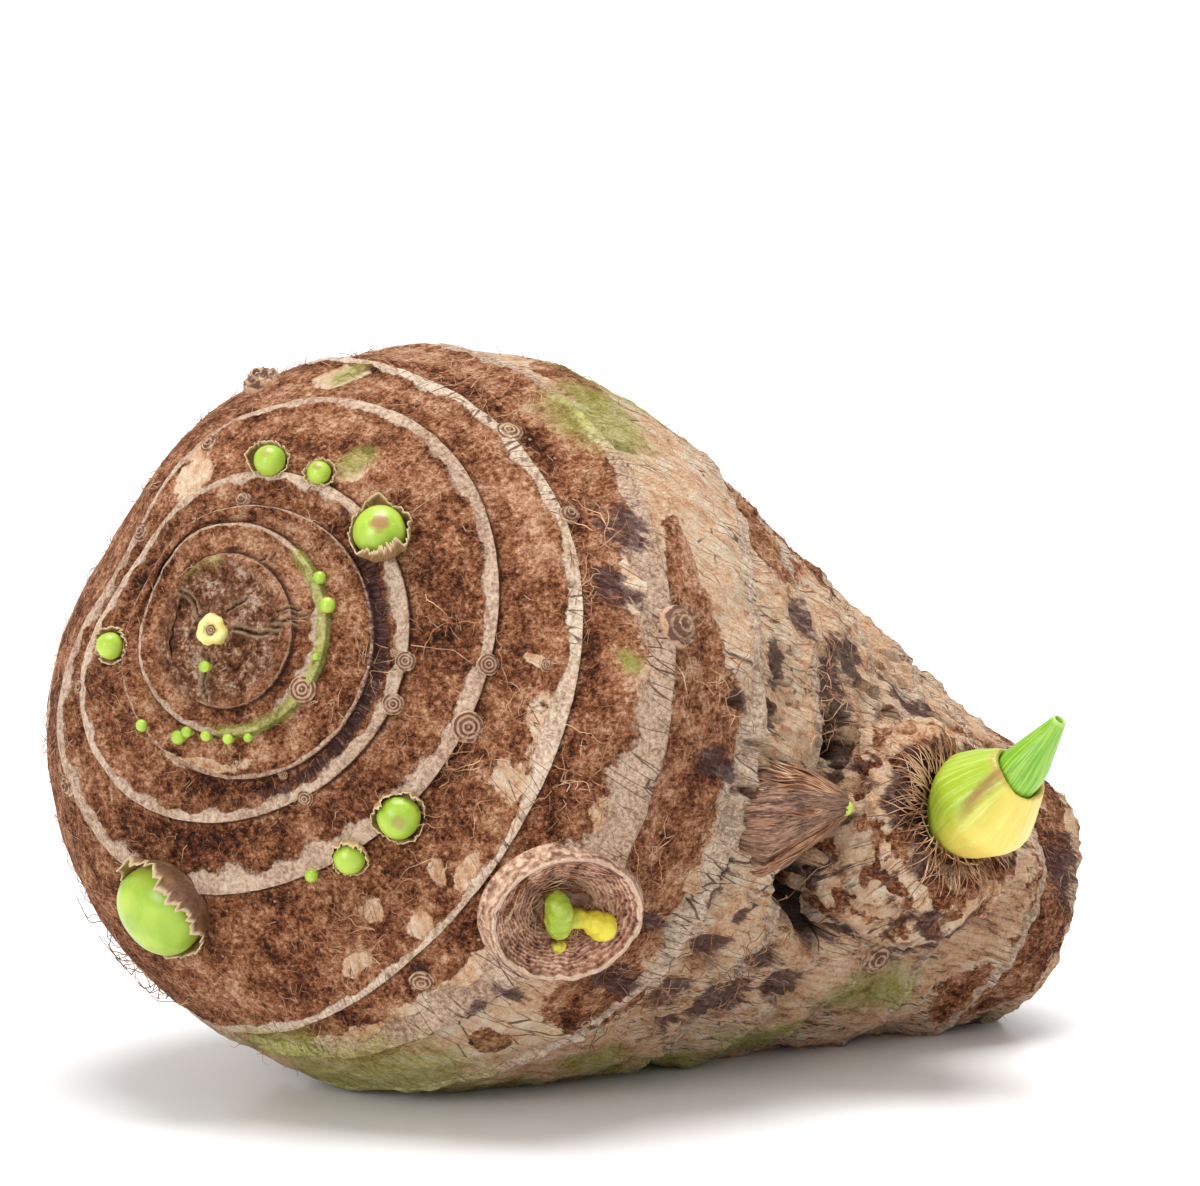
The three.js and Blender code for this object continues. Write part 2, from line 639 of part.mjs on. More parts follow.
addPiece("corm", cormSolid(), BROWN, 0.9);
for (const bud of BUDS) {
  addPiece(bud.name, budSolid(bud), BUD_GREEN, 0.35);
}
for (const cuff of CUFFS) {
  addPiece(cuff.name, cuffSolid(cuff), SCALE_BROWN, 0.7);
}
addPiece("torn_sprout", sproutSolid(0), SPROUT_GREEN, 0.5);
addPiece("shoot_sheath", sheathSolid(0).subtract(leafSolid(GAP)), SHEATH_GREEN, 0.4);
addPiece("shoot_leaf", leafSolid(0), LEAF_GREEN, 0.4);

export default group;
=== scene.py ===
import math

import bpy
import numpy as np
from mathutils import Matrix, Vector, noise


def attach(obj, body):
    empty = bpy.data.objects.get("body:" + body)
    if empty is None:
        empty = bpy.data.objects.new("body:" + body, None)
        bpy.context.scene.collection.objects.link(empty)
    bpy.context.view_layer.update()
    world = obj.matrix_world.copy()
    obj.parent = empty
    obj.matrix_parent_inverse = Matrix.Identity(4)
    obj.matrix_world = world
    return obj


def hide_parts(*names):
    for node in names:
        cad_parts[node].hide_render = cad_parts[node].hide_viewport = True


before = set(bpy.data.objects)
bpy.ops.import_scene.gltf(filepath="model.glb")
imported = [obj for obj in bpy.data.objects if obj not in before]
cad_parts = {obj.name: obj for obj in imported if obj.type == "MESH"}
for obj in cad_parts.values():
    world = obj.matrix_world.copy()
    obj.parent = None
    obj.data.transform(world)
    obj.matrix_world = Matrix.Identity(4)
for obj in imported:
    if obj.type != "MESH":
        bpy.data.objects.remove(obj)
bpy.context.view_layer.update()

# The corm: the swollen stem of the taro, starchy flesh under a thin corky skin felted with brown
# fibres. It grew from the old neck towards the dome, and every leaf that dropped left a raised
# scar right round it, so the skin climbs to the edge of each scar and drops behind it.
MM = 0.001
STAND = np.array((14.0, -5.4, -0.9))
MIDDLE_LINE = np.array(((-77, 0, 63.4), (-49.5, 18.3, 55.8), (-39.5, 12, 44.8), (94.5, 0, 1.6)), float)
OUTLINE = np.array((
    (0, 0), (0.5, 5), (1.7, 11), (3.7, 18), (7, 25), (12, 32), (20, 39.5), (31, 45.5), (43, 48),
    (57, 46.2), (71, 41.6), (85, 36.2), (99, 31), (113, 26), (127, 21.3), (140, 17),
), float)
LINE_STEPS = 400
OUTLINE_STEPS = 40

# Broad flats and swellings: amount, angle, spread of angle, distance, spread of distance.
SWELLINGS = ((-4, 156, 34, 34, 25), (2, -118, 44, 48, 14), (1.2, -94, 40, 80, 20))
DOME_LUMP, NECK_LUMP, LUMPS_BEGIN, LUMPS_FULL = 0.2, 1.1, 70, 135

# Leaf scars, from the pole: distance, its one, two and three waves round the corm, width of the
# raised edge and drop behind it.
SCARS = (
    (9, (1.6, 0.2), (-0.4, -0.2), (0, 0), 0.8, 0.7),
    (13.1, (1.5, 0.5), (-0.1, -0.1), (0, 0), 0.8, 0.9),
    (17, (3.4, -1), (0.2, 0), (0, 0), 0.9, 1.2),
    (22.6, (2, -2), (0.2, 1.6), (0.2, -0.4), 1.5, 0.8),
    (32, (5.8, -1.2), (-1.4, 3.6), (0.2, -0.8), 1.8, 0.8),
    (52.5, (-1, -5), (1, -0.5), (1, 1.5), 2.2, 0.8),
    (65.5, (3.5, -2.5), (6, -1.5), (0.5, 0.5), 2.4, 0.9),
    (87, (5.5, 4.5), (3.5, 0), (0.5, -3.5), 1.8, 1),
    (107, (1.5, -3), (1, -1), (1, 0.5), 1.6, 1),
    (121, (1, -1), (1, 0.5), (0, 0.5), 1.4, 0.9),
    (133, (1.5, 1), (0, 1), (0.5, 0), 1.4, 0.9),
    (147, (-1, 1), (1, 0), (0, 0), 1.2, 0.8),
    (160, (1, 0), (0, 1), (0, 0), 1.2, 0.7),
)
GROOVE_WIDTH = 0.9

# Width of the pale papery band before each scar's edge, as pairs of angle and millimetres, and
# its tone from 0 (cream) to 1 (tan).
BANDS = (
    (((-180, 0.12),), 1),
    (((-180, 0.4), (-120, 0.6), (-50, 0.9), (-40, 1.9), (10, 1.7), (25, 1), (60, 0.4), (120, 0.3)), 0.6),
    (((-180, 0.2), (-70, 0.5), (0, 0.45), (30, 0.2), (120, 0.15)), 0.9),
    (
        (
            (-180, 1.4), (-100, 1.3), (-40, 1.5), (0, 1.7), (20, 2.4), (50, 1.6), (80, 1.3), (110, 1),
            (150, 1.2),
        ),
        0.45,
    ),
    (((-180, 2), (-120, 2.2), (-90, 3), (-60, 3.1), (-30, 3.1), (-10, 2.6), (5, 2), (60, 1.9), (80, 1.4),
      (100, 0.9), (140, 1.4)), 0.6),
    (((-180, 2), (-110, 1.4), (-80, 1.8), (-60, 1.5), (-40, 1.7), (-22, 1.8), (-15, 4), (-5, 4.2), (5, 3.2),
      (20, 2.6), (35, 2.2), (60, 1.8), (85, 1.5), (120, 1.6)), 0.2),
    (((-180, 2.4), (-75, 2.5), (-60, 4), (-45, 7), (-20, 8.5), (0, 7.5), (15, 7), (22, 6), (35, 6.5), (45, 3),
      (60, 2), (140, 2.4)), 0.7),
    (((-180, 2), (-40, 2), (-20, 4.5), (0, 6.5), (12, 5), (22, 2.5), (100, 2)), 0.35),
    (((-180, 1.6),), 0.5),
    (((-180, 1.4),), 0.5),
    (((-180, 1.4),), 0.5),
    (((-180, 1.2),), 0.5),
    (((-180, 1.2),), 0.5),
)

# Facets: columns lie closer on the near side, rows closer at the scars.
COLUMNS = 352
NEAR_SIDE_ANGLE = 8
FAR_CROWD, NEAR_CROWD, CROWD_STEPS = 0.55, 1.15, 4001
ROW_SPACING = 0.95
POLE_FIRST_ROW, POLE_ROWS_END, POLE_ROW_SPACING = 0.5, 7, 0.55
BEFORE_EDGE = ((0, 0.45), (0.12, 0.72), (0.35, 0.86), (0.65, 0.96), (0.9, 1), (1, 0.92))
BEHIND_EDGE = ((0.22, 0.35), (0.45, -0.55), (0.72, -0.95))
ROWS_TO_END = 12
FAR_OFF = 4
END_DISH = 1.2
END_ROWS = (0.93, 0.84, 0.72, 0.58, 0.44, 0.3, 0.15)


# A smooth line through corners, as close points.
def rounded(corners, between):
    ends = np.vstack([corners[0], corners, corners[-1]])
    share = np.linspace(0, 1, between, endpoint=False)[:, None]
    pieces = []
    for index in range(1, len(ends) - 2):
        start, end = ends[index], ends[index + 1]
        leave = (end - ends[index - 1]) / 2
        arrive = (ends[index + 2] - start) / 2
        pieces.append(
            (2 * start - 2 * end + leave + arrive) * share**3
            + (3 * end - 3 * start - 2 * leave - arrive) * share**2
            + leave * share + start
        )
    return np.vstack([*pieces, corners[-1:]])


def lengths_along(points):
    return np.concatenate([[0], np.cumsum(np.linalg.norm(np.diff(points, axis=0), axis=1))])


def bezier(share):
    share = np.asarray(share)[..., None]
    rest = 1 - share
    a, b, c, d = MIDDLE_LINE
    return rest**3 * a + 3 * rest**2 * share * b + 3 * rest * share**2 * c + share**3 * d


def unit(vectors):
    return vectors / np.linalg.norm(vectors, axis=-1, keepdims=True)


line_share = np.linspace(0, 1, LINE_STEPS)
line_length = lengths_along(bezier(line_share))
outline_points = rounded(OUTLINE, OUTLINE_STEPS)
outline_length = lengths_along(outline_points)
SKIN_LENGTH = outline_length[-1]


# Directions at a place on the middle line: along it, towards the near side, and upwards.
def middle_at(height):
    share = np.interp(height, line_length, line_share)
    centre = bezier(share)
    step = 0.5 / LINE_STEPS
    along = unit(bezier(np.clip(share + step, 0, 1)) - bezier(np.clip(share - step, 0, 1)))
    near = unit(np.cross(along, (0.0, 0.0, 1.0)))
    return centre, along, near, np.cross(near, along)


# A place on the smooth skin, in millimetres, by distance along it from the pole and angle in
# degrees (0 on the near side, 90 on top), with its outward direction.
def skin_at(distance, angle):
    distance, angle = np.broadcast_arrays(np.asarray(distance, float), np.asarray(angle, float))
    distance = np.clip(distance, 0, SKIN_LENGTH)
    height = np.interp(distance, outline_length, outline_points[:, 0])
    radius = np.interp(distance, outline_length, outline_points[:, 1])
    back = np.clip(distance - 0.4, 0, SKIN_LENGTH)
    ahead = np.clip(distance + 0.4, 0, SKIN_LENGTH)
    climb = np.interp(ahead, outline_length, outline_points[:, 0]) - np.interp(
        back, outline_length, outline_points[:, 0],
    )
    widen = np.interp(ahead, outline_length, outline_points[:, 1]) - np.interp(
        back, outline_length, outline_points[:, 1],
    )
    centre, along, near, top = middle_at(height)
    turn = np.radians(angle)[..., None]
    sideways = near * np.cos(turn) + top * np.sin(turn)
    outward = unit(sideways * climb[..., None] - along * widen[..., None])
    return centre + sideways * radius[..., None], outward, along


def turn_between(a, b):
    return (a - b + 180) % 360 - 180


def smooth(low, high, value):
    share = np.clip((value - low) / (high - low), 0, 1)
    return share * share * (3 - 2 * share)


def swelling_at(distance, angle):
    total = 0
    for amount, middle, spread, far, reach in SWELLINGS:
        total = total + amount * np.exp(
            -(turn_between(angle, middle) / spread) ** 2 - ((distance - far) / reach) ** 2
        )
    return total


def lump_at(point, distance):
    x, y, z = point[..., 0], point[..., 1], point[..., 2]
    size = DOME_LUMP + (NECK_LUMP - DOME_LUMP) * smooth(LUMPS_BEGIN, LUMPS_FULL, distance)
    broad = np.sin(x / 6.1 + 1.3) * np.sin(y / 7.3 + 0.4) * np.sin(z / 6.7 + 2.1)
    fine = np.sin(x / 3.3 + z / 4.1) * np.sin(y / 3.7 - z / 5.9)
    return size * (1.1 * broad + 0.5 * fine)


# A place on the finished skin, in metres where the corm lies, and its outward direction.
def on_skin(distance, angle, lift=0.0):
    point, outward, along = skin_at(distance, angle)
    rise = swelling_at(distance, angle) + lump_at(point, distance) + lift
    return (point + outward * rise[..., None] + STAND) * MM, outward, along


def scar_distance(scar, angle):
    turn = np.radians(angle)
    distance = scar[0]
    for wave, (near, top) in enumerate(scar[1:4], 1):
        distance = distance + near * np.cos(wave * turn) + top * np.sin(wave * turn)
    return distance


# Soft-edged noise over an array of points, from -1 to 1, at a grain size in millimetres.
def grain(points, size, octaves=3, shift=0.0):
    flat = points.reshape(-1, 3) / (size * MM)
    values = [noise.fractal((x + shift, y, z), 1.0, 2.0, octaves) for x, y, z in flat.tolist()]
    return np.array(values).reshape(points.shape[:-1])


# Share from 0 to 1 of a round patch on the skin: distance, angle, half-length and half-width.
def patch_share(patches, distance, angle, radius):
    share = np.zeros(np.shape(distance))
    for far, middle, half_length, half_width in patches:
        down = (distance - far) / half_length
        across = np.radians(turn_between(angle, middle)) * radius / half_width
        share = np.maximum(share, 1.1 - 0.6 * np.hypot(down, across))
    return np.clip(share, 0, 1)


# Places where the felt has peeled off the pale layer under it.
PEELED = (
    (43, -54, 2.4, 1.5), (46, -39, 3.2, 1.2), (49.5, -33, 2, 3.4), (47, -17, 4, 2.4), (50, -6, 4, 4.4),
    (45, 4, 2.2, 0.8), (50.5, -46, 2, 2), (49.5, -60, 1.8, 2), (27.5, 60, 3, 1.8), (23, 112, 4, 3.2),
    (40.5, 87, 3, 2.6), (17, -92, 0.9, 6), (33, -132, 1.6, 5), (43, 150, 5, 4), (38, -168, 3, 5),
)
# Places beyond the sixth scar that still carry brown felt.
FELTED = (
    (58, -40, 3.4, 26), (58, -5, 4.6, 18), (62, 2, 6, 14), (60, 40, 5, 9), (66.5, 72, 4, 8),
    (66, -62, 2.2, 9),
    (82, -8, 7.5, 20), (85, -33, 7, 8), (78, 20, 5.5, 7), (86, 8, 5, 7), (88, -42, 4, 3), (74, 32, 3, 5),
    (77, -52, 3, 2), (92, -38, 3, 3), (100, 60, 7, 9), (112, 75, 8, 9), (80, 120, 9, 16),
    (72, 165, 8, 14),
    (84, -150, 9, 14), (100, 150, 8, 12), (118, -170, 10, 12), (70, 110, 5, 14), (150, 40, 7, 5),
    (165, 0, 5, 14),
    (158, -40, 5, 5), (163, 80, 6, 12), (162, 170, 7, 12), (140, 120, 9, 7), (60, -170, 5, 22),
    (58, 140, 5, 26),
)
# Purple-brown places where old fibres have weathered dark; the two narrow strips at 21 to 21.6 mm, in the
# groove past the third scar, are painted shadow.
DARKENED = (
    (60.5, 22, 5.5, 2.4), (62, 33, 5, 3.4), (86.5, -33, 4.6, 2.6), (87.5, -22, 4.6, 1.2), (87, 5, 5, 2.2),
    (88, 16, 2.4, 1.4), (97, 17, 2, 1.8), (97.5, 27, 2.2, 3), (101, -36, 3.6, 2.4), (101.5, -25, 4, 1.8),
    (105, -45, 2, 1.4), (111, -38, 5, 3.8), (113, -27, 4, 2), (112, 31, 4, 5.6), (116, 42, 3, 3.4),
    (112, 21, 4, 3), (73, -42, 4, 1.3), (70, -46, 1.4, 2), (58, -50, 2, 2), (120, -34, 3, 3),
    (98, -12, 1.4, 2.6),
    (97, -16, 1.4, 1.8), (104, -18, 1.6, 1.2), (118, 12, 5, 6), (126, -14, 5, 3.4), (140, -20, 6, 3),
    (150, 26, 6, 4),
    (133, 44, 7, 2.2), (103, 40, 3, 3), (66, 52, 3, 1.2), (21.6, -20, 0.9, 20), (21, 15, 0.9, 8),
    (78, 140, 5, 5), (95, 170, 5, 4), (66, -140, 3, 6), (108, -120, 6, 4), (120, 110, 6, 4),
    (134, 160, 6, 5),
    (168, 20, 4, 5), (166, -70, 4, 5), (160, 120, 5, 5), (90, -100, 4, 3), (76, 95, 4, 4),
)
# Places with long curly side roots.
ROOTED = (
    (55.5, 24, 5, 7), (56, 34, 4, 5), (73, 21, 3, 4), (79.5, -15, 3, 4), (40, -18, 4, 7), (45, -58, 5, 6),
    (27, 12, 1.6, 3),
    (26, 42, 2, 3), (25, -4, 1.4, 2), (86, 16, 3, 3), (62, -8, 4, 5), (48, 66, 4, 6),
    (96, -40, 4, 6), (112, 30, 5, 6), (110, -30, 5, 6), (60, 150, 5, 8), (80, -170, 6, 8),
    (104, 120, 6, 8), (56, -120, 4, 8),
)
# Living yellow-green places.
GREENED = (
    (8.6, 123, 0.8, 2), (8.6, 96, 0.6, 1.2), (64.5, 12, 2.6, 1.2), (61.5, 56, 6, 5.4), (67, 60, 6, 8),
    (75, -76, 12, 15), (92, -82, 14, 12), (62, -84, 5, 8), (28, 61, 3, 1.6), (41, 86, 3, 2),
    (138, -36, 9, 4),
    (112, -70, 12, 8), (126, -58, 7, 6), (76, 78, 8, 6), (99, -58, 6, 4),
)
# Darker and lighter stretches of the terraces between scars, partly their own tones and partly painted light
# and shade: lighter strokes towards the top, darker ones underneath and just past the scars' edges. From and
# to, counted in scars from the pole, then angle, half-angle and amount.
TONE_AND_PAINTED_LIGHT_STROKES = (
    (0, 1, 0, 180, -0.2), (1, 2, 110, 60, 0.35), (1, 2, 0, 180, 0.12), (2, 3, -15, 180, 0.12),
    (2, 3, 60, 42, 0.35),
    (2.2, 3, -85, 20, 0.4), (3, 3.72, -35, 78, -0.85), (3, 4, 120, 60, -0.2), (4, 5, -50, 75, -0.35),
    (4, 4.5, -98, 28, -0.3), (4.5, 5, 65, 40, 0.2), (5, 5.1, 0, 180, -0.4), (5, 6, -75, 40, -0.1),
    (5.4, 6, 45, 45, 0.2),
    (5.6, 6, 95, 40, 0.4), (6, 6.35, -20, 110, -0.35), (6.3, 7, 45, 30, 0.2), (6.4, 7, 80, 40, 0.3),
    (7, 8, 60, 40, 0.3),
)
# Corky gashes: distance, angle, half-length, half-width and depth.
GASHES = (
    (96.5, 2.6, 5, 0.55, 2), (97, 10.8, 5, 0.5, 1.8), (102.5, -28.5, 3.6, 0.45, 1.4),
    (92.5, -17, 1.6, 0.7, 1.3),
    (92, -24, 1.4, 0.6, 1), (103.5, -45, 2, 0.5, 1), (89.5, -45, 1.6, 0.7, 1.2), (98, 18, 3, 0.35, 0.9),
    (98.5, 25, 3.6, 0.35, 1), (99, 31, 3, 0.3, 0.8), (112, -30, 4, 0.5, 1.2), (113, -40, 3.4, 0.4, 1),
    (87.5, 15.5, 1.8, 0.6, 1.2), (95, -8, 2.4, 0.25, 0.6), (105, -14, 2, 0.4, 0.8),
    (122, 36, 6, 0.5, 1.2),
    (126, 50, 7, 0.5, 1.2), (133, 60, 6, 0.5, 1), (143, 46, 7, 0.5, 1.1), (124, -38, 4, 0.5, 1),
    (152, -10, 5, 0.5, 1),
    (60, -50.5, 1.6, 0.8, 1.1), (95, 100, 6, 0.5, 1), (118, 140, 7, 0.5, 1.1), (103, -150, 6, 0.5, 1.1),
    (140, -120, 7, 0.5, 1), (158, 60, 6, 0.5, 1), (156, 150, 6, 0.5, 1), (114, 15, 4, 0.5, 1.4),
    (118, 26, 6, 0.45, 1.4),
)
# The crevices round the cone bud, cut into the skin and painted near black as shade: distance, angle,
# half-length, half-width and depth.
CLEFTS = (
    (112.5, -7, 4.8, 5, 8), (116.5, -12, 4.6, 4.6, 7.5), (120.5, -17, 4, 3.6, 5.5),
    (116.5, 4, 3.8, 3.8, 6.5), (112.5, 20, 3.6, 3, 4),
)
# Cracks that run out from the pole, their hollows painted dark as shade: angle, where it starts and ends, and
# half-width.
POLE_CRACKS = (
    (5.5, 2.4, 11.5, 0.22), (53, 2.8, 6.6, 0.16), (141, 2.4, 8.6, 0.2), (-95, 3, 9.6, 0.17),
    (14, 9, 13, 0.14), (57, 10, 13, 0.13),
)

TORN_BUD = (71.5, -26)
TORN_RADIUS = 8.5
TORN_STRETCH = 1.17

share = np.linspace(0, 1, CROWD_STEPS)
crowd = FAR_CROWD + NEAR_CROWD * smooth(130, 60, np.abs(turn_between(share * 360, NEAR_SIDE_ANGLE)))
crowd = np.concatenate([[0], np.cumsum((crowd[1:] + crowd[:-1]) / 2)])
angles = np.interp(np.linspace(0, crowd[-1], COLUMNS + 1)[:-1], crowd, share * 360)
angles = turn_between(angles, 0)

# Rows of the skin: distance, lift, distance past the last scar, share of the way to the next
# scar's edge measured in bands, the band's tone, and the place counted in scars.
rows = []


def add_row(distance, lift, past, to_edge, tone, terrace):
    full = np.ones(COLUMNS)
    rows.append(
        tuple(np.asarray(value, float) * full for value in (distance, lift, past, to_edge, tone, terrace))
    )


def band_width(index):
    pairs, _ = BANDS[index]
    turns = [angle for angle, _ in pairs]
    widths = [width for _, width in pairs]
    width = np.interp(angles, turns + [180], widths + [widths[0]])
    wobble = 1 + 0.3 * np.sin(np.radians(angles * 23) + index) * np.sin(
        np.radians(angles * 9) + 2 * index
    )
    return width * wobble


for distance in np.arange(POLE_FIRST_ROW, POLE_ROWS_END, POLE_ROW_SPACING):
    add_row(distance, 0, FAR_OFF, FAR_OFF, 0.8, distance / 8)
for index, scar in enumerate(SCARS):
    edge = scar_distance(scar, angles)
    start, last_step = np.full(COLUMNS, float(POLE_ROWS_END)), 0
    if index:
        start, last_step = scar_distance(SCARS[index - 1], angles) + GROOVE_WIDTH, SCARS[index - 1][5]
    raised = edge - scar[4]
    high = scar[5] / 2
    width = band_width(index)
    tone = BANDS[index][1]
    count = max(2, int(round(np.mean(raised - start) / ROW_SPACING)))
    for step in range(count):
        part = step / count
        distance = start + (raised - start) * part
        lift = -last_step / 2 + (0.3 * high + last_step / 2) * part**0.85
        past = GROOVE_WIDTH + distance - start if index else 4
        add_row(
            distance, lift, np.clip(past, 0, 4), np.clip((edge - distance) / width, 0, 4), tone,
            index + part,
        )
    for part, height in BEFORE_EDGE:
        distance = raised + scar[4] * part
        add_row(distance, high * height, 4, np.clip((edge - distance) / width, 0, 4), tone, index + 1)
    for part, height in BEHIND_EDGE:
        add_row(edge + GROOVE_WIDTH * part, high * height, GROOVE_WIDTH * part, 4, tone, index + 1)
last_edge = scar_distance(SCARS[-1], angles) + GROOVE_WIDTH
for part in np.linspace(0, 1, ROWS_TO_END):
    distance = last_edge + (SKIN_LENGTH - last_edge) * part
    lift = -SCARS[-1][5] / 2 * (1 - part) - 0.9 * smooth(0.8, 1, part)
    add_row(distance, lift, np.clip(GROOVE_WIDTH + distance - last_edge, 0, 4), 4, 0.6, len(SCARS) + part)

distance, lift, past, to_edge, tone, terrace = (np.array([row[k] for row in rows]) for k in range(6))
angle = np.broadcast_to(angles, distance.shape)
radius = np.interp(distance, outline_length, outline_points[:, 1])
smooth_place = (skin_at(distance, angle)[0] + STAND) * MM

cork = np.clip(smooth(54, 62, distance) - patch_share(FELTED, distance, angle, radius) * 1.25, 0, 1)
cork = np.maximum(cork, patch_share(PEELED, distance, angle, radius))
dark = patch_share(DARKENED, distance, angle, radius)
green = patch_share(GREENED, distance, angle, radius)
# Painted light and shade, mixed with the terraces' own tones: lighter towards the top, darker underneath and
# just past the scars.
shade = np.zeros(distance.shape)
for start, end, middle, half, amount in TONE_AND_PAINTED_LIGHT_STROKES:
    along_share = smooth(start - 0.04, start + 0.08, terrace) * smooth(end + 0.02, end - 0.2, terrace)
    round_share = smooth(half + 22, half - 12, np.abs(turn_between(angle, middle))) if half < 180 else 1
    shade += amount * along_share * round_share
ring_b = scar_distance(SCARS[1], angle)
green_band = smooth(1.3, 0.6, np.abs(distance - ring_b + 0.4)) * smooth(
    76, 60, np.abs(turn_between(angle, -18)),
)
green = np.maximum(green, green_band * 0.9)

# Relief of the skin: crumbly at the pole, felted on the dome, corky and gashed on the neck.
wide_grain = grain(smooth_place, 5.5)
fine_grain = grain(smooth_place, 1.7, 3, 40)
neck = smooth(62, 100, distance)
pole = smooth(9.6, 8, distance)
relief = fine_grain * (0.16 + 0.34 * neck + 0.3 * pole) + wide_grain * (0.18 + 0.5 * neck)
relief += pole * (0.22 * np.sin(distance * 4.4 + 2 * wide_grain) - 0.35 * smooth(2, 5, distance) + 0.1)
relief -= 0.22 * smooth(0.4, 0.7, cork) * (1 - neck)
relief -= 0.35 * smooth(0.35, 0.8, dark) * (0.4 + neck)
for far, middle, half_length, half_width, depth in GASHES:
    down = (distance - far) / half_length
    bend = 0.5 * np.sin(down * 3 + far)
    across = (np.radians(turn_between(angle, middle)) * radius - bend) / half_width
    lip = 0.45 * np.exp(-((np.abs(across) - 1.9) / 0.9) ** 2)
    relief += depth * smooth(1.1, 0.6, np.abs(down)) * (lip - np.exp(-across**2))
# deep: painted shade, strongest at the bottom of the crevices and cracks.
deep = np.zeros(distance.shape)
for far, middle, half_length, half_width, depth in CLEFTS:
    down = (distance - far) / half_length
    across = np.radians(turn_between(angle, middle)) * radius / half_width
    hollow = smooth(1.15, 0.5, np.hypot(down, across) + 0.15 * fine_grain)
    relief -= depth * hollow
    deep = np.maximum(deep, hollow)
pale_lips = np.zeros(distance.shape)
for middle, start, end, half_width in POLE_CRACKS:
    across = np.abs(
        np.radians(turn_between(angle, middle + 6 * np.sin(distance * 0.8))) * radius
    ) / half_width
    here = smooth(start, start + 0.8, distance) * smooth(end, end - 1, distance)
    relief -= here * (0.45 * np.exp(-across**2) - 0.25 * np.exp(-((across - 2) / 0.9) ** 2))
    deep = np.maximum(deep, 0.55 * here * smooth(1.2, 0.6, across))
    pale_lips = np.maximum(pale_lips, here * np.exp(-((across - 2) / 0.9) ** 2))
plate_rim = np.exp(-((distance - scar_distance(SCARS[0], angle) + 0.7) / 0.7) ** 2)
relief += plate_rim * (0.35 + 0.5 * fine_grain)
torn_down = (distance - TORN_BUD[0]) / TORN_STRETCH
torn_away = np.hypot(torn_down, np.radians(turn_between(angle, TORN_BUD[1])) * radius)
relief -= 4.5 * smooth(TORN_RADIUS + 0.2, TORN_RADIUS - 1.0, torn_away)
relief += 0.7 * np.exp(-((torn_away - TORN_RADIUS - 1) / 1.6) ** 2)

skin_points, _, _ = on_skin(distance, angle, lift + relief)
skin_points[..., 2] = np.maximum(skin_points[..., 2], 0)
pole_point, _, _ = on_skin(0.0, 0.0, 0.2)
end_centre, end_along, _, _ = middle_at(outline_points[-1, 0])
end_centre = (end_centre - end_along * END_DISH + STAND) * MM
rim = skin_points[-1]
end_rows = []
for part in END_ROWS:
    row = end_centre + (rim - end_centre) * part
    rough = grain(row, 2.2, 3, 9) * 0.7 + 0.5 * np.sin(part * 40) * 0.4
    end_rows.append(row + end_along * (rough * MM)[:, None])


def new_object(name, data):
    made = bpy.data.objects.new(name, data)
    bpy.context.scene.collection.objects.link(made)
    return made


# A closed skin through rings of points, with a point at either end, as one smooth mesh.
def skin_mesh(name, rings, first, last):
    count = len(rings[0])
    points = np.vstack([[first], *rings, [last]])
    index = np.arange(count)
    after = (index + 1) % count
    faces = [np.stack([np.zeros(count, int), 1 + index, 1 + after, 1 + after], 1)]
    for ring in range(len(rings) - 1):
        here, there = 1 + ring * count, 1 + (ring + 1) * count
        faces.append(np.stack([here + index, there + index, there + after, here + after], 1))
    foot = 1 + (len(rings) - 1) * count
    end = len(points) - 1
    faces.append(np.stack([foot + after, foot + index, np.full(count, end), np.full(count, end)], 1))
    corners = [face[:3] if face[2] == face[3] else face for face in np.vstack(faces).tolist()]
    mesh = bpy.data.meshes.new(name)
    mesh.from_pydata(points.tolist(), [], corners)
    mesh.polygons.foreach_set("use_smooth", np.ones(len(corners), bool))
    mesh.update()
    return new_object(name, mesh)


def add_numbers(piece, name, values):
    made = piece.data.attributes.new(name, "FLOAT", "POINT")
    made.data.foreach_set("value", np.asarray(values, np.float32))


def add_vectors(piece, name, values):
    made = piece.data.attributes.new(name, "FLOAT_VECTOR", "POINT")
    made.data.foreach_set("vector", np.asarray(values, np.float32).ravel())


corm = skin_mesh("corm_skin", [*skin_points, *end_rows], pole_point, end_centre)


# A value for every corner of the corm: the pole's, the skin's rows, then the end face's.
def whole(values, at_pole, on_end):
    return np.concatenate([[at_pole], values.ravel(), np.full(len(END_ROWS) * COLUMNS + 1, on_end)])


add_numbers(corm, "past_scar", whole(past, 4, 4))
add_numbers(corm, "to_edge", whole(to_edge, 4, 4))
add_numbers(corm, "tone", whole(tone, 0.8, 0.6))
add_numbers(corm, "cork", whole(cork, 0, 0.15))
add_numbers(corm, "dark", whole(dark, 0, 0.5))
add_numbers(corm, "green", whole(green, 1, 0))
add_numbers(corm, "pole", whole(pole, 1, 0))
add_numbers(corm, "shade", whole(shade, 0, 0.1))
add_numbers(corm, "deep", whole(deep, 0, 0))
add_numbers(corm, "pale_lips", whole(pale_lips, 0, 0))
furry = np.clip(1.1 - cork, 0.15, 1) * smooth(9, 14, distance) * (
    0.25 + 0.75 * smooth(-0.1, 0.35, grain(smooth_place, 7, 2, 70))
)
furry *= smooth(0.95, 1.25, np.where(to_edge > 3.9, 2, to_edge)) * smooth(
    0, 0.02, torn_away - TORN_RADIUS - 0.6,
)
add_numbers(corm, "furry", whole(furry, 0, 0.5))
add_numbers(
    corm, "rooty",
    whole(
        patch_share(ROOTED, distance, angle, radius) * smooth(0, 0.02, torn_away - TORN_RADIUS - 0.6), 0,
        0,
    ),
)
add_numbers(corm, "distance", whole(distance, 0, SKIN_LENGTH))
EVEN_RADIUS = 46
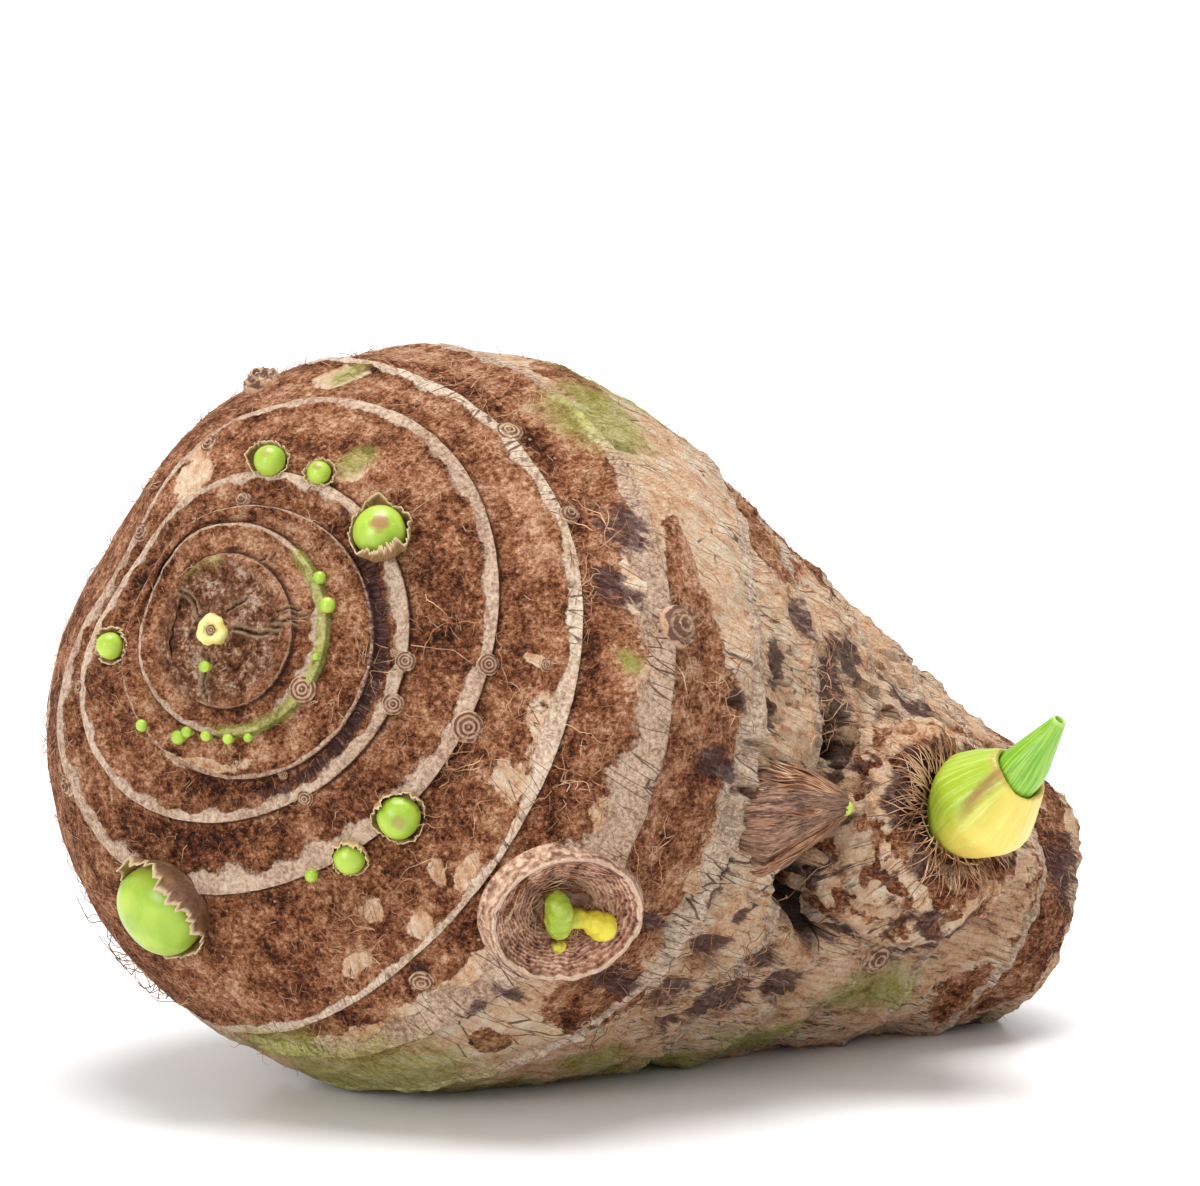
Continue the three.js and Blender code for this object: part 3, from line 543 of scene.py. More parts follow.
way = np.stack([
    EVEN_RADIUS * np.cos(np.radians(angle)), EVEN_RADIUS * np.sin(np.radians(angle)), distance,
], -1).reshape(-1, 3)
end_way = np.array([(p - end_centre) / MM for row in end_rows for p in row])
add_vectors(corm, "way", np.vstack([[0, 0, 0], way, end_way, [0, 0, 0]]))


# Sets a node's inputs by name, each to a value or from another node's socket.
def set_inputs(tree, made, inputs):
    for key, value in inputs.items():
        if isinstance(value, bpy.types.NodeSocket):
            tree.links.new(value, made.inputs[key])
        else:
            made.inputs[key].default_value = value


# A new node, with its settings and inputs given by name.
def add_node(tree, kind, inputs=None, **settings):
    made = tree.nodes.new(kind)
    for key, value in settings.items():
        setattr(made, key, value)
    set_inputs(tree, made, inputs or {})
    return made


# The first output of a new node.
def result(tree, kind, inputs=None, **settings):
    return add_node(tree, kind, inputs, **settings).outputs[0]


def calculate(tree, operation, *values):
    return result(tree, "ShaderNodeMath", dict(enumerate(values)), operation=operation)


def noise_of(tree, where, scale, detail=4.0, roughness=0.6, distortion=0.0):
    inputs = {
        "Vector": where, "Scale": scale, "Detail": detail, "Roughness": roughness,
        "Distortion": distortion,
    }
    return result(tree, "ShaderNodeTexNoise", inputs)


def blend_colour(tree, share, first, second, kind="MIX"):
    made = tree.nodes.new("ShaderNodeMix")
    made.data_type = "RGBA"
    made.blend_type = kind
    for socket, value in ((made.inputs[0], share), (made.inputs[6], first), (made.inputs[7], second)):
        if isinstance(value, bpy.types.NodeSocket):
            tree.links.new(value, socket)
        else:
            socket.default_value = (*value, 1) if isinstance(value, tuple) and len(value) == 3 else value
    return made.outputs[2]


def ramp(tree, value, low, high, start=0.0, end=1.0):
    inputs = {"Value": value, "From Min": low, "From Max": high, "To Min": start, "To Max": end}
    return result(tree, "ShaderNodeMapRange", inputs, interpolation_type="SMOOTHSTEP")


# A value moved up and down by a noise, by its weight times how far the noise is from a half.
def shaken(tree, value, noise_value, weight):
    return calculate(tree, "MULTIPLY_ADD", calculate(tree, "SUBTRACT", noise_value, 0.5), weight, value)


def read(tree, name, output="Fac"):
    return add_node(tree, "ShaderNodeAttribute", attribute_name=name).outputs[output]


def object_place(tree):
    return add_node(tree, "ShaderNodeTexCoord").outputs["Object"]


# A node group with named inputs (label, socket kind and value) and outputs (label and kind).
def new_group(name, inputs, outputs, kind_of_tree="ShaderNodeTree"):
    tree = bpy.data.node_groups.new(name, kind_of_tree)
    for label, kind, value in inputs:
        made = tree.interface.new_socket(label, in_out="INPUT", socket_type=kind)
        if value is not None:
            made.default_value = value
    for label, kind in outputs:
        tree.interface.new_socket(label, in_out="OUTPUT", socket_type=kind)
    return tree, tree.nodes.new("NodeGroupInput").outputs, tree.nodes.new("NodeGroupOutput").inputs


def place_group(tree, group, inputs):
    return add_node(tree, "ShaderNodeGroup", inputs, node_tree=group).outputs


# Torn edge: turns a soft share into a ragged patch, its edge broken by noise.
torn_edge, given, made = new_group(
    "torn edge",
    [("Share", "NodeSocketFloat", 0.0), ("Position", "NodeSocketVector", None),
     ("Scale", "NodeSocketFloat", 600.0), ("Wobble", "NodeSocketFloat", 0.7),
     ("Softness", "NodeSocketFloat", 0.08)],
    [("Patch", "NodeSocketFloat")],
)
edge_noise = noise_of(torn_edge, given["Position"], given["Scale"], 5.0, 0.65)
shifted = shaken(torn_edge, given["Share"], edge_noise, given["Wobble"])
low = calculate(torn_edge, "SUBTRACT", 0.5, given["Softness"])
high = calculate(torn_edge, "ADD", 0.5, given["Softness"])
torn_edge.links.new(ramp(torn_edge, shifted, low, high), made["Patch"])


# A colour read off steps of places and colours.
def colour_steps(tree, value, steps):
    made = add_node(tree, "ShaderNodeValToRGB", {"Fac": value})
    scale = made.color_ramp.elements
    while len(scale) < len(steps):
        scale.new(0.5)
    for point, (where, colour) in zip(scale, steps):
        point.position = where
        point.color = (*colour, 1)
    return made.outputs[0]


def stretched(tree, where, scale, turned=(0, 0, 0)):
    return result(tree, "ShaderNodeMapping", {"Vector": where, "Rotation": turned, "Scale": scale})


# The sum of noises, each about its middle and times its weight, round a half.
def mixed(tree, *weighted):
    total = 0.5
    for value, weight in weighted:
        total = shaken(tree, total, value, weight)
    return total


# Felt: matted fibres, from dark to light, with pale specks and stray pale fibres, and their height. Shade moves
# it darker or lighter: the terraces' own tones, with painted light towards the top and painted shade underneath
# and just past the scars.
FELT_STEPS = (
    (0.0, (0.018, 0.005, 0.003)), (0.22, (0.075, 0.022, 0.009)), (0.42, (0.215, 0.070, 0.027)),
    (0.60, (0.390, 0.155, 0.068)), (0.80, (0.60, 0.30, 0.165)), (1.0, (0.80, 0.51, 0.33)),
)
felt, given, made = new_group(
    "felt", [("Position", "NodeSocketVector", None), ("Shade", "NodeSocketFloat", 0.0)],
    [("Colour", "NodeSocketColor"), ("Height", "NodeSocketFloat")],
)
where = given["Position"]
broad = noise_of(felt, where, 95.0, 3.0, 0.6)
mottle = noise_of(felt, where, 300.0, 5.0, 0.66)
fine = noise_of(felt, where, 1500.0, 4.0, 0.75)
fibre_a = noise_of(felt, stretched(felt, where, (1, 6, 6), (0.5, 0.2, 0.7)), 330.0, 3.0, 0.62, 1.0)
fibre_b = noise_of(felt, stretched(felt, where, (6, 1, 6), (-0.6, 0.9, -0.4)), 330.0, 3.0, 0.62, 1.0)
fibres = calculate(felt, "MAXIMUM", fibre_a, fibre_b)
depth = mixed(felt, (fibres, 1.5), (fine, 1.7), (mottle, 0.8))
value = mixed(felt, (fibres, 1.3), (fine, 1.55), (mottle, 1.5), (broad, 0.8))
value = calculate(felt, "MULTIPLY_ADD", given["Shade"], 0.33, calculate(felt, "SUBTRACT", value, 0.02))
tint = colour_steps(felt, value, FELT_STEPS)
specks = result(felt, "ShaderNodeTexVoronoi", {"Vector": where, "Scale": 420.0, "Randomness": 1.0})
tint = blend_colour(felt, ramp(felt, specks, 0.11, 0.06, 0, 0.75), tint, (0.62, 0.40, 0.25))
stray = noise_of(felt, stretched(felt, where, (1, 9, 9), (1.1, -0.4, 0.3)), 210.0, 2.0, 0.5, 2.2)
tint = blend_colour(felt, ramp(felt, stray, 0.66, 0.72, 0, 0.6), tint, (0.50, 0.27, 0.15))
felt.links.new(tint, made["Colour"])
felt.links.new(depth, made["Height"])


def new_material(name, colour):
    material = bpy.data.materials.new(name)
    material.use_nodes = True
    material.diffuse_color = (*colour, 1)
    tree = material.node_tree
    return material, tree, tree.nodes["Principled BSDF"]


def bump(tree, height, strength, distance):
    return result(tree, "ShaderNodeBump", {"Height": height, "Strength": strength, "Distance": distance})


WEATHERED_AND_SHADE_DARK = (0.030, 0.012, 0.012)
LIVING_GREEN = (0.40, 0.42, 0.075)

skin_finish, tree, shader = new_material("corm skin", (0.25, 0.12, 0.07))
place = object_place(tree)
way_round = read(tree, "way", "Vector")
tone_and_painted_light_here = read(tree, "shade")
felted = place_group(tree, felt, {"Position": place, "Shade": tone_and_painted_light_here})
colour = felted["Colour"]

# Cork: tan and cream plates, mottled and drawn out along the corm, with dark gaps and pores.
CORK_STEPS = (
    (0.0, (0.085, 0.030, 0.015)), (0.18, (0.31, 0.120, 0.060)), (0.36, (0.62, 0.305, 0.160)),
    (0.54, (0.81, 0.485, 0.285)), (0.74, (0.92, 0.645, 0.425)), (1.0, (0.97, 0.84, 0.65)),
)
cork_broad = noise_of(tree, place, 120.0, 3.0, 0.6)
cork_tint = noise_of(tree, place, 420.0, 6.0, 0.68)
cork_streak = noise_of(tree, stretched(tree, way_round, (1, 1, 0.28)), 0.75, 5.0, 0.66)
cork_fine = noise_of(tree, place, 1900.0, 3.0, 0.7)
cork_value = mixed(tree, (cork_broad, 0.7), (cork_tint, 1.0), (cork_streak, 1.25), (cork_fine, 0.9))
# The same strokes of tone and painted light and shade move the cork darker or lighter.
cork_value = calculate(tree, "ADD", cork_value, calculate(tree, "MULTIPLY_ADD", tone_and_painted_light_here, 0.2, 0.15))
cork_colour = colour_steps(tree, cork_value, CORK_STEPS)
crack_place = stretched(tree, way_round, (1.6, 1.6, 0.2))
cracks = result(
    tree, "ShaderNodeTexVoronoi", {"Vector": crack_place, "Scale": 0.42}, feature="DISTANCE_TO_EDGE",
)
crack_line = calculate(
    tree, "MULTIPLY", ramp(tree, cracks, 0.03, 0.008), ramp(tree, cork_broad, 0.42, 0.56),
)
gap_noise = noise_of(tree, stretched(tree, way_round, (1, 1, 0.5)), 0.42, 6.0, 0.68)
gaps = calculate(
    tree, "MULTIPLY", ramp(tree, gap_noise, 0.44, 0.36), ramp(tree, read(tree, "distance"), 82, 96),
)
cork_share = place_group(
    tree, torn_edge,
    {"Share": read(tree, "cork"), "Position": place, "Scale": 260.0, "Wobble": 1.7, "Softness": 0.07},
)["Patch"]
cork_colour = blend_colour(tree, calculate(tree, "MULTIPLY", gaps, 0.85), cork_colour, felted["Colour"])
colour = blend_colour(tree, cork_share, colour, cork_colour)

# The pale bands before the scars' edges, speckled, with a thin dark line of painted shadow in the groove behind
# each.
BAND_PALE = (
    (0.0, (0.20, 0.10, 0.06)), (0.3, (0.47, 0.33, 0.23)), (0.55, (0.69, 0.54, 0.41)),
    (1.0, (0.90, 0.80, 0.66)),
)
BAND_TAN = (
    (0.0, (0.08, 0.035, 0.02)), (0.3, (0.24, 0.125, 0.075)), (0.55, (0.44, 0.28, 0.185)),
    (1.0, (0.68, 0.50, 0.36)),
)
ragged = noise_of(tree, place, 420.0, 5.0, 0.68)
to_edge_socket = shaken(tree, read(tree, "to_edge"), ragged, 1.5)
band = ramp(tree, to_edge_socket, 1.06, 0.9)
band_value = mixed(tree, (cork_fine, 1.5), (cork_tint, 0.7), (cork_broad, 0.6))
band_colour = blend_colour(
    tree, read(tree, "tone"), colour_steps(tree, band_value, BAND_PALE),
    colour_steps(tree, band_value, BAND_TAN),
)
colour = blend_colour(tree, band, colour, band_colour)
pale = calculate(tree, "MAXIMUM", band, cork_share)
dry = calculate(
    tree, "MULTIPLY", calculate(tree, "MULTIPLY", pale, crack_line),
    ramp(tree, read(tree, "distance"), 38, 47, 0, 0.85),
)
colour = blend_colour(tree, dry, colour, (0.09, 0.035, 0.02))
# Painted shadow: a thin dark line in the groove just past each scar's edge, where the skin drops.
groove_painted_shadow = ramp(tree, shaken(tree, read(tree, "past_scar"), ragged, 1.2), 1.0, 0.2, 0, 0.9)
colour = blend_colour(tree, groove_painted_shadow, colour, (0.030, 0.011, 0.007))

# Old fibres weathered to purple-brown, with painted shadow from the same mask in the groove past the third
# scar, and the living yellow-green places.
dark_way = stretched(tree, way_round, (1, 1, 0.45))
dark_patch = place_group(
    tree, torn_edge,
    {"Share": read(tree, "dark"), "Position": dark_way, "Scale": 0.55, "Wobble": 2.0, "Softness": 0.16},
)["Patch"]
dark_value = mixed(
    tree, (noise_of(tree, stretched(tree, way_round, (1, 1, 0.2)), 1.6, 4.0, 0.7), 1.6), (cork_fine, 0.8),
)
dark_colour = colour_steps(
    tree, dark_value, ((0.2, WEATHERED_AND_SHADE_DARK), (0.55, (0.10, 0.045, 0.042)), (0.9, (0.34, 0.21, 0.18))),
)
# Weathered fibres, and painted shadow in the groove past the third scar.
colour = blend_colour(tree, calculate(tree, "MULTIPLY", dark_patch, 0.88), colour, dark_colour)
green_patch = place_group(
    tree, torn_edge,
    {"Share": read(tree, "green"), "Position": place, "Scale": 300.0, "Wobble": 0.9, "Softness": 0.3},
)["Patch"]
green_value = mixed(tree, (cork_tint, 1.4), (cork_fine, 0.9), (cork_broad, 0.8))
green_colour = colour_steps(
    tree, green_value, ((0.1, (0.13, 0.12, 0.025)), (0.5, LIVING_GREEN), (0.9, (0.66, 0.62, 0.28))),
)
colour = blend_colour(tree, calculate(tree, "MULTIPLY", green_patch, 0.72), colour, green_colour)
# The growing tip's plates: crumbly, dark and moist, with bright crumbs, and pale lips to their cracks.
pole_share = calculate(tree, "MULTIPLY", read(tree, "pole"), 0.85)
pole_value = mixed(tree, (cork_fine, 1.9), (cork_tint, 1.5), (ragged, 1.0))
pole_colour = colour_steps(tree, pole_value, (
    (0.1, (0.030, 0.010, 0.005)), (0.42, (0.21, 0.078, 0.034)), (0.64, (0.45, 0.21, 0.105)),
    (0.92, (0.80, 0.62, 0.47)),
))
colour = blend_colour(tree, pole_share, colour, pole_colour)
colour = blend_colour(
    tree, calculate(tree, "MULTIPLY", read(tree, "pale_lips"), 0.7), colour, (0.58, 0.42, 0.26),
)
# Painted shade: near black in the crevices round the cone bud and in the pole's cracks.
colour = blend_colour(
    tree, ramp(tree, read(tree, "deep"), 0.15, 0.8, 0, 0.93), colour, (0.014, 0.006, 0.004),
)
set_inputs(tree, shader, {"Base Color": colour, "Specular IOR Level": 0.15})
dryness = calculate(tree, "MULTIPLY_ADD", pole_share, -0.35, ramp(tree, pale, 0, 1, 0.92, 0.75))
tree.links.new(dryness, shader.inputs["Roughness"])
height = calculate(tree, "MULTIPLY", felted["Height"], calculate(tree, "MULTIPLY_ADD", band, -0.75, 1.0))
height = calculate(tree, "MULTIPLY_ADD", dry, -0.5, height)
height = calculate(tree, "MULTIPLY_ADD", gaps, -0.5, height)
height = calculate(
    tree, "MULTIPLY_ADD", mixed(tree, (cork_streak, 1.0), (cork_tint, 1.2), (cork_fine, 0.5)), 0.8,
    height,
)
tree.links.new(bump(tree, height, 0.9, 0.0011), shader.inputs["Normal"])

corm.data.materials.append(skin_finish)
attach(corm, "root")
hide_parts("corm")

# Knobs: brown ringed scars where buds have dried up. Each is a small corky wart that grew on a
# leaf scar, so all are one group, set on the skin with Geometry Nodes.
KNOBS = (
    (36, -14, 1.9, 1), (36.5, 0, 1.3, 0.8), (25, -4, 1.2, 0.8), (25, -17, 1.3, 0.9), (24, -57, 1, 0.7),
    (13.8, -28, 1.6, 0.6), (17, 87, 1, 1.3), (51.5, 33, 1.2, 1.1), (47.5, 52, 1.7, 0.6),
    (46.5, 4, 0.8, 0.6),
    (73, 21, 2.6, 2.2), (40, 106, 2.4, 2.4), (21, 140, 1.2, 0.9), (23, -160, 1.1, 0.8),
    (33, -140, 1.4, 1),
    (27, 108, 1.3, 0.8), (54, 128, 1.8, 1.2), (52.5, 165, 1.3, 0.9), (57, -150, 1.7, 1.1),
    (68, 150, 2, 1.3),
    (64, -170, 1.4, 0.9), (63, -120, 1.6, 1), (85, 118, 2.3, 1.6), (86, -165, 1.9, 1.4),
    (104, 160, 2.4, 1.8),
    (107, -135, 2, 1.4), (124, 130, 2.6, 2), (132, -160, 2.2, 1.8), (145, 100, 2.2, 1.8),
    (88, -43, 1.5, 0.8),
    (59, -50, 1.5, 0.7), (135, -24, 2.2, 1.2), (20, -60, 0.6, 0.5), (23.5, -2, 0.6, 0.4),
)


# Points in metres round a direction, from reaches and heights in millimetres and turns.
def placed(place, axes, reach, turn, height):
    return (
        place + axes[0] * (reach * np.cos(turn) * MM)[..., None]
        + axes[1] * (reach * np.sin(turn) * MM)[..., None] + axes[2] * (height * MM)[..., None]
    )


# Axes along a direction: across it and level, upwards, and along it.
def level_frame(direction):
    across = unit(np.cross(direction, (0.0, 0.0, 1.0)))
    return across, np.cross(across, direction), direction


# A turned surface: rings from pairs of radius and height round a direction, as points in metres.
# reshape may move them: it takes angles, radii, heights and shares up the pairs, all as arrays.
def turned_rings(pairs, segments, place, frame_axes, between=4, reshape=None):
    line = rounded(np.array(pairs, float), between)
    shares = lengths_along(line)
    shares = shares / shares[-1]
    turn = np.linspace(0, 2 * np.pi, segments, endpoint=False)
    turns, radii = np.meshgrid(turn, line[:, 0])
    heights = np.repeat(line[:, 1][:, None], segments, 1)
    parts = np.repeat(shares[:, None], segments, 1)
    if reshape:
        turns, radii, heights = reshape(turns, radii, heights, parts)
    return placed(place, frame_axes, radii, turns, heights), turns, radii, heights, parts


# Place and axes on the skin: round the corm, towards the pole, and outwards.
def axes_on_skin(distance, angle, lift=0.0):
    point, outward, along = skin_at(distance, angle)
    point = (point + outward * (swelling_at(distance, angle) + lift) + STAND) * MM
    round_corm = unit(np.cross(outward, along))
    step, _, _ = skin_at(distance, angle + 1)
    back, _, _ = skin_at(distance, angle - 1)
    round_corm = round_corm * np.sign(np.dot(round_corm, step - back))
    to_pole = np.cross(outward, round_corm)
    to_pole = to_pole * np.sign(-np.dot(to_pole, along))
    return point, (round_corm, to_pole, outward)


def closed_turned(name, rings):
    return skin_mesh(name, list(rings[1:-1]), rings[0].mean(0), rings[-1].mean(0))


# A value for every corner of a closed turned piece: the first point's, the rings', the last's.
def inner(values, first, last):
    return np.concatenate([[first], values[1:-1].ravel(), [last]])


# A place for every corner of a closed turned piece that runs evenly round and along it.
def way_along(size, turns, heights, end):
    way = np.stack([size * np.cos(turns), size * np.sin(turns), heights], -1)[1:-1].reshape(-1, 3)
    return np.vstack([[0, 0, 0], way, [0, 0, end]])


# Turns a piece's faces outwards, whichever way its rings were wound.
def face_outwards(piece):
    mesh = piece.data
    low_corner = np.array(piece.bound_box).min(0)
    volume = 0.0
    for face in mesh.polygons:
        corner = Vector(face.center) - Vector(low_corner)
        volume += corner.dot(face.normal) * face.area
    if volume < 0:
        mesh.flip_normals()
    return piece


WART_PAIRS = (
    (1.15, -0.9), (1.1, -0.1), (1, 0.25), (0.93, 0.5), (0.8, 0.55), (0.7, 0.42), (0.6, 0.55), (0.5, 0.8),
    (0.38, 0.86), (0.28, 0.72), (0.2, 0.8), (0.1, 1), (0, 1),
)
flat_axes = (np.array((1.0, 0, 0)), np.array((0, 1.0, 0)), np.array((0, 0, 1.0)))


def rough_wart(turns, radii, heights, parts):
    wobble = 0.07 * np.sin(5 * turns + 9 * parts) + 0.05 * np.sin(11 * turns - 14 * parts)
    return turns, radii * (1 + wobble), heights + 0.06 * np.sin(7 * turns + 20 * parts)


wart_rings, _, wart_radii, _, _ = turned_rings(WART_PAIRS, 22, np.zeros(3), flat_axes, 1, rough_wart)
wart = closed_turned("wart", wart_rings)
face_outwards(wart)
add_numbers(wart, "from_middle", inner(wart_radii, 1.2, 0))

wart_spots = [axes_on_skin(far, middle) for far, middle, _, _ in KNOBS]
seats = bpy.data.meshes.new("knob_seats")
seats.from_pydata([tuple(point) for point, _ in wart_spots], [], [])
seat_piece = new_object("knobs", seats)
add_vectors(seat_piece, "outward", [axes[2] for _, axes in wart_spots])
add_vectors(seat_piece, "wart_size", [(size, size, tall) for _, _, size, tall in KNOBS])

wart_finish, tree, shader = new_material("wart", (0.35, 0.2, 0.12))
place = object_place(tree)
from_middle = read(tree, "from_middle")
wart_grain = noise_of(tree, place, 1100.0, 4.0, 0.6)
rings_share = calculate(
    tree, "MULTIPLY_ADD", wart_grain, 0.9, calculate(tree, "MULTIPLY", from_middle, 5.0),
)
rings_share = calculate(tree, "SINE", calculate(tree, "MULTIPLY", rings_share, 3.6))
colour = blend_colour(tree, ramp(tree, rings_share, -0.4, 0.6), (0.10, 0.045, 0.025), (0.44, 0.26, 0.15))
colour = blend_colour(tree, ramp(tree, wart_grain, 0.5, 0.7, 0, 0.5), colour, (0.6, 0.42, 0.28))
set_inputs(tree, shader, {
    "Base Color": colour, "Roughness": 0.85,
    "Normal": bump(tree, calculate(tree, "ADD", rings_share, wart_grain), 0.5, 0.0002),
})


def new_geometry_tree(name, inputs):
    geometry = ("Geometry", "NodeSocketGeometry")
    return new_group(name, [(*geometry, None), *inputs], [geometry], "GeometryNodeTree")


# Runs a geometry tree on a piece with its inputs given by name, and keeps the result as a mesh.
def grow(piece, tree, values, name):
    modifier = piece.modifiers.new("grow", "NODES")
    modifier.node_group = tree
    for item in tree.interface.items_tree:
        if item.item_type == "SOCKET" and item.in_out == "INPUT" and item.name in values:
            modifier[item.identifier] = values[item.name]
    graph = bpy.context.evaluated_depsgraph_get()
    mesh = bpy.data.meshes.new_from_object(piece.evaluated_get(graph))
    piece.modifiers.remove(modifier)
    return new_object(name, mesh)


set_warts, given, made = new_geometry_tree(
    "set warts", [("Wart", "NodeSocketObject", None), ("Finish", "NodeSocketMaterial", None)],
)
wart_info = add_node(set_warts, "GeometryNodeObjectInfo", {"Object": given["Wart"]})
outward_field = result(
    set_warts, "GeometryNodeInputNamedAttribute", {"Name": "outward"}, data_type="FLOAT_VECTOR",
)
size_field = result(
    set_warts, "GeometryNodeInputNamedAttribute", {"Name": "wart_size"}, data_type="FLOAT_VECTOR",
)
upright = result(set_warts, "FunctionNodeAlignRotationToVector", {"Vector": outward_field}, axis="Z")
as_points = result(set_warts, "GeometryNodeMeshToPoints", {"Mesh": given["Geometry"]})
set_each = add_node(set_warts, "GeometryNodeInstanceOnPoints", {
    "Points": as_points, "Instance": wart_info.outputs["Geometry"], "Rotation": upright,
    "Scale": size_field,
}).outputs[0]
real = result(set_warts, "GeometryNodeRealizeInstances", {"Geometry": set_each})
finished = result(set_warts, "GeometryNodeSetMaterial", {"Geometry": real, "Material": given["Finish"]})
set_warts.links.new(finished, made["Geometry"])
knobs = grow(seat_piece, set_warts, {"Wart": wart, "Finish": wart_finish}, "corky_knobs")
bpy.data.objects.remove(seat_piece)
bpy.data.objects.remove(wart)
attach(knobs, "root")

# Root hairs: fine brown fibres that grew out of the felt, and longer curly ones where side roots
# have died back. They lie close to the skin, so each is kept within a hair's reach of it.
root_finish, tree, shader = new_material("root hair", (0.5, 0.3, 0.18))
place = object_place(tree)
tint = noise_of(tree, place, 230.0, 3.0, 0.6)
colour = colour_steps(tree, mixed(tree, (tint, 2.2)), (
    (0.1, (0.11, 0.042, 0.018)), (0.45, (0.36, 0.17, 0.085)), (0.9, (0.70, 0.46, 0.28)),
))
set_inputs(tree, shader, {"Base Color": colour, "Roughness": 0.65, "Specular IOR Level": 0.25})

grow_hairs, given, made = new_geometry_tree("grow hairs", [
    ("Where", "NodeSocketString", None), ("Per Square Metre", "NodeSocketFloat", 1e5),
    ("Shortest", "NodeSocketFloat", 0.0015),
    ("Longest", "NodeSocketFloat", 0.0035), ("Points", "NodeSocketInt", 6),
    ("Radius", "NodeSocketFloat", 0.00006),
    ("Bend", "NodeSocketFloat", 0.002), ("Bend Grain", "NodeSocketFloat", 260.0),
    ("Highest", "NodeSocketFloat", 0.0012),
    ("Seed", "NodeSocketInt", 5), ("Finish", "NodeSocketMaterial", None),
])


def named_field(tree, name, kind):
    return result(tree, "GeometryNodeInputNamedAttribute", {"Name": name}, data_type=kind)


def vector_math(tree, operation, first, second):
    return result(tree, "ShaderNodeVectorMath", {0: first, 1: second}, operation=operation)


def scaled(tree, vector, factor):
    return result(tree, "ShaderNodeVectorMath", {0: vector, "Scale": factor}, operation="SCALE")


share_here = named_field(grow_hairs, given["Where"], "FLOAT")
how_many = calculate(grow_hairs, "MULTIPLY", share_here, given["Per Square Metre"])
roots_at = add_node(grow_hairs, "GeometryNodeDistributePointsOnFaces", {
    "Mesh": given["Geometry"], "Density": how_many, "Seed": given["Seed"],
})
upright = result(
    grow_hairs, "FunctionNodeAlignRotationToVector", {"Vector": roots_at.outputs["Normal"]}, axis="Z",
)
spin = result(
    grow_hairs, "FunctionNodeRandomValue", {0: (0, -0.75, -3.14), 1: (0, -0.08, 3.14), "Seed": 3},
    data_type="FLOAT_VECTOR",
)
turned = result(
    grow_hairs, "FunctionNodeRotateRotation", {"Rotation": upright, "Rotate By": spin},
    rotation_space="LOCAL",
)
size = add_node(
    grow_hairs, "FunctionNodeRandomValue", {2: given["Shortest"], 3: given["Longest"], "Seed": 8},
).outputs[1]
straight = result(grow_hairs, "GeometryNodeCurvePrimitiveLine", {"End": (1, 0, 0)})
straight = result(grow_hairs, "GeometryNodeResampleCurve", {"Curve": straight, "Count": given["Points"]})
hairs = add_node(grow_hairs, "GeometryNodeInstanceOnPoints", {
    "Points": roots_at.outputs["Points"], "Instance": straight, "Rotation": turned, "Scale": size,
}).outputs[0]
hairs = result(grow_hairs, "GeometryNodeRealizeInstances", {"Geometry": hairs})
along_hair = add_node(grow_hairs, "GeometryNodeSplineParameter").outputs["Factor"]
here = result(grow_hairs, "GeometryNodeInputPosition")
waves = add_node(
    grow_hairs, "ShaderNodeTexNoise", {"Vector": here, "Scale": given["Bend Grain"], "Detail": 2.0},
).outputs["Color"]
waves = vector_math(grow_hairs, "SUBTRACT", waves, (0.5, 0.5, 0.5))
how_far = calculate(
    grow_hairs, "MULTIPLY", calculate(grow_hairs, "POWER", along_hair, 1.3),
    calculate(grow_hairs, "MULTIPLY", given["Bend"], 4.0),
)
hairs = result(
    grow_hairs, "GeometryNodeSetPosition",
    {"Geometry": hairs, "Offset": scaled(grow_hairs, waves, how_far)},
)
facing = result(grow_hairs, "GeometryNodeInputNormal")
nearest = result(
    grow_hairs, "GeometryNodeSampleNearestSurface", {"Mesh": given["Geometry"], "Value": here},
    data_type="FLOAT_VECTOR",
)
nearest_facing = result(
    grow_hairs, "GeometryNodeSampleNearestSurface", {"Mesh": given["Geometry"], "Value": facing},
    data_type="FLOAT_VECTOR",
)
above = add_node(grow_hairs, "ShaderNodeVectorMath", {
    0: vector_math(grow_hairs, "SUBTRACT", here, nearest), 1: nearest_facing,
}, operation="DOT_PRODUCT").outputs["Value"]
held = calculate(
    grow_hairs, "MINIMUM", calculate(grow_hairs, "MAXIMUM", above, 0.00002), given["Highest"],
)
held_place = vector_math(grow_hairs, "ADD", nearest, scaled(grow_hairs, nearest_facing, held))
off_floor = vector_math(grow_hairs, "MAXIMUM", held_place, (-1, -1, 0.0002))
hairs = result(grow_hairs, "GeometryNodeSetPosition", {"Geometry": hairs, "Position": off_floor})
thinning = calculate(
    grow_hairs, "MULTIPLY", given["Radius"],
    calculate(grow_hairs, "MULTIPLY_ADD", along_hair, -0.65, 1.0),
)
round_hair = result(grow_hairs, "GeometryNodeCurvePrimitiveCircle", {"Resolution": 3, "Radius": 1.0})
hairs = result(
    grow_hairs, "GeometryNodeCurveToMesh",
    {"Curve": hairs, "Profile Curve": round_hair, "Scale": thinning},
)
hairs = result(grow_hairs, "GeometryNodeRealizeInstances", {"Geometry": hairs})
hairs = result(grow_hairs, "GeometryNodeSetMaterial", {"Geometry": hairs, "Material": given["Finish"]})
grow_hairs.links.new(hairs, made["Geometry"])

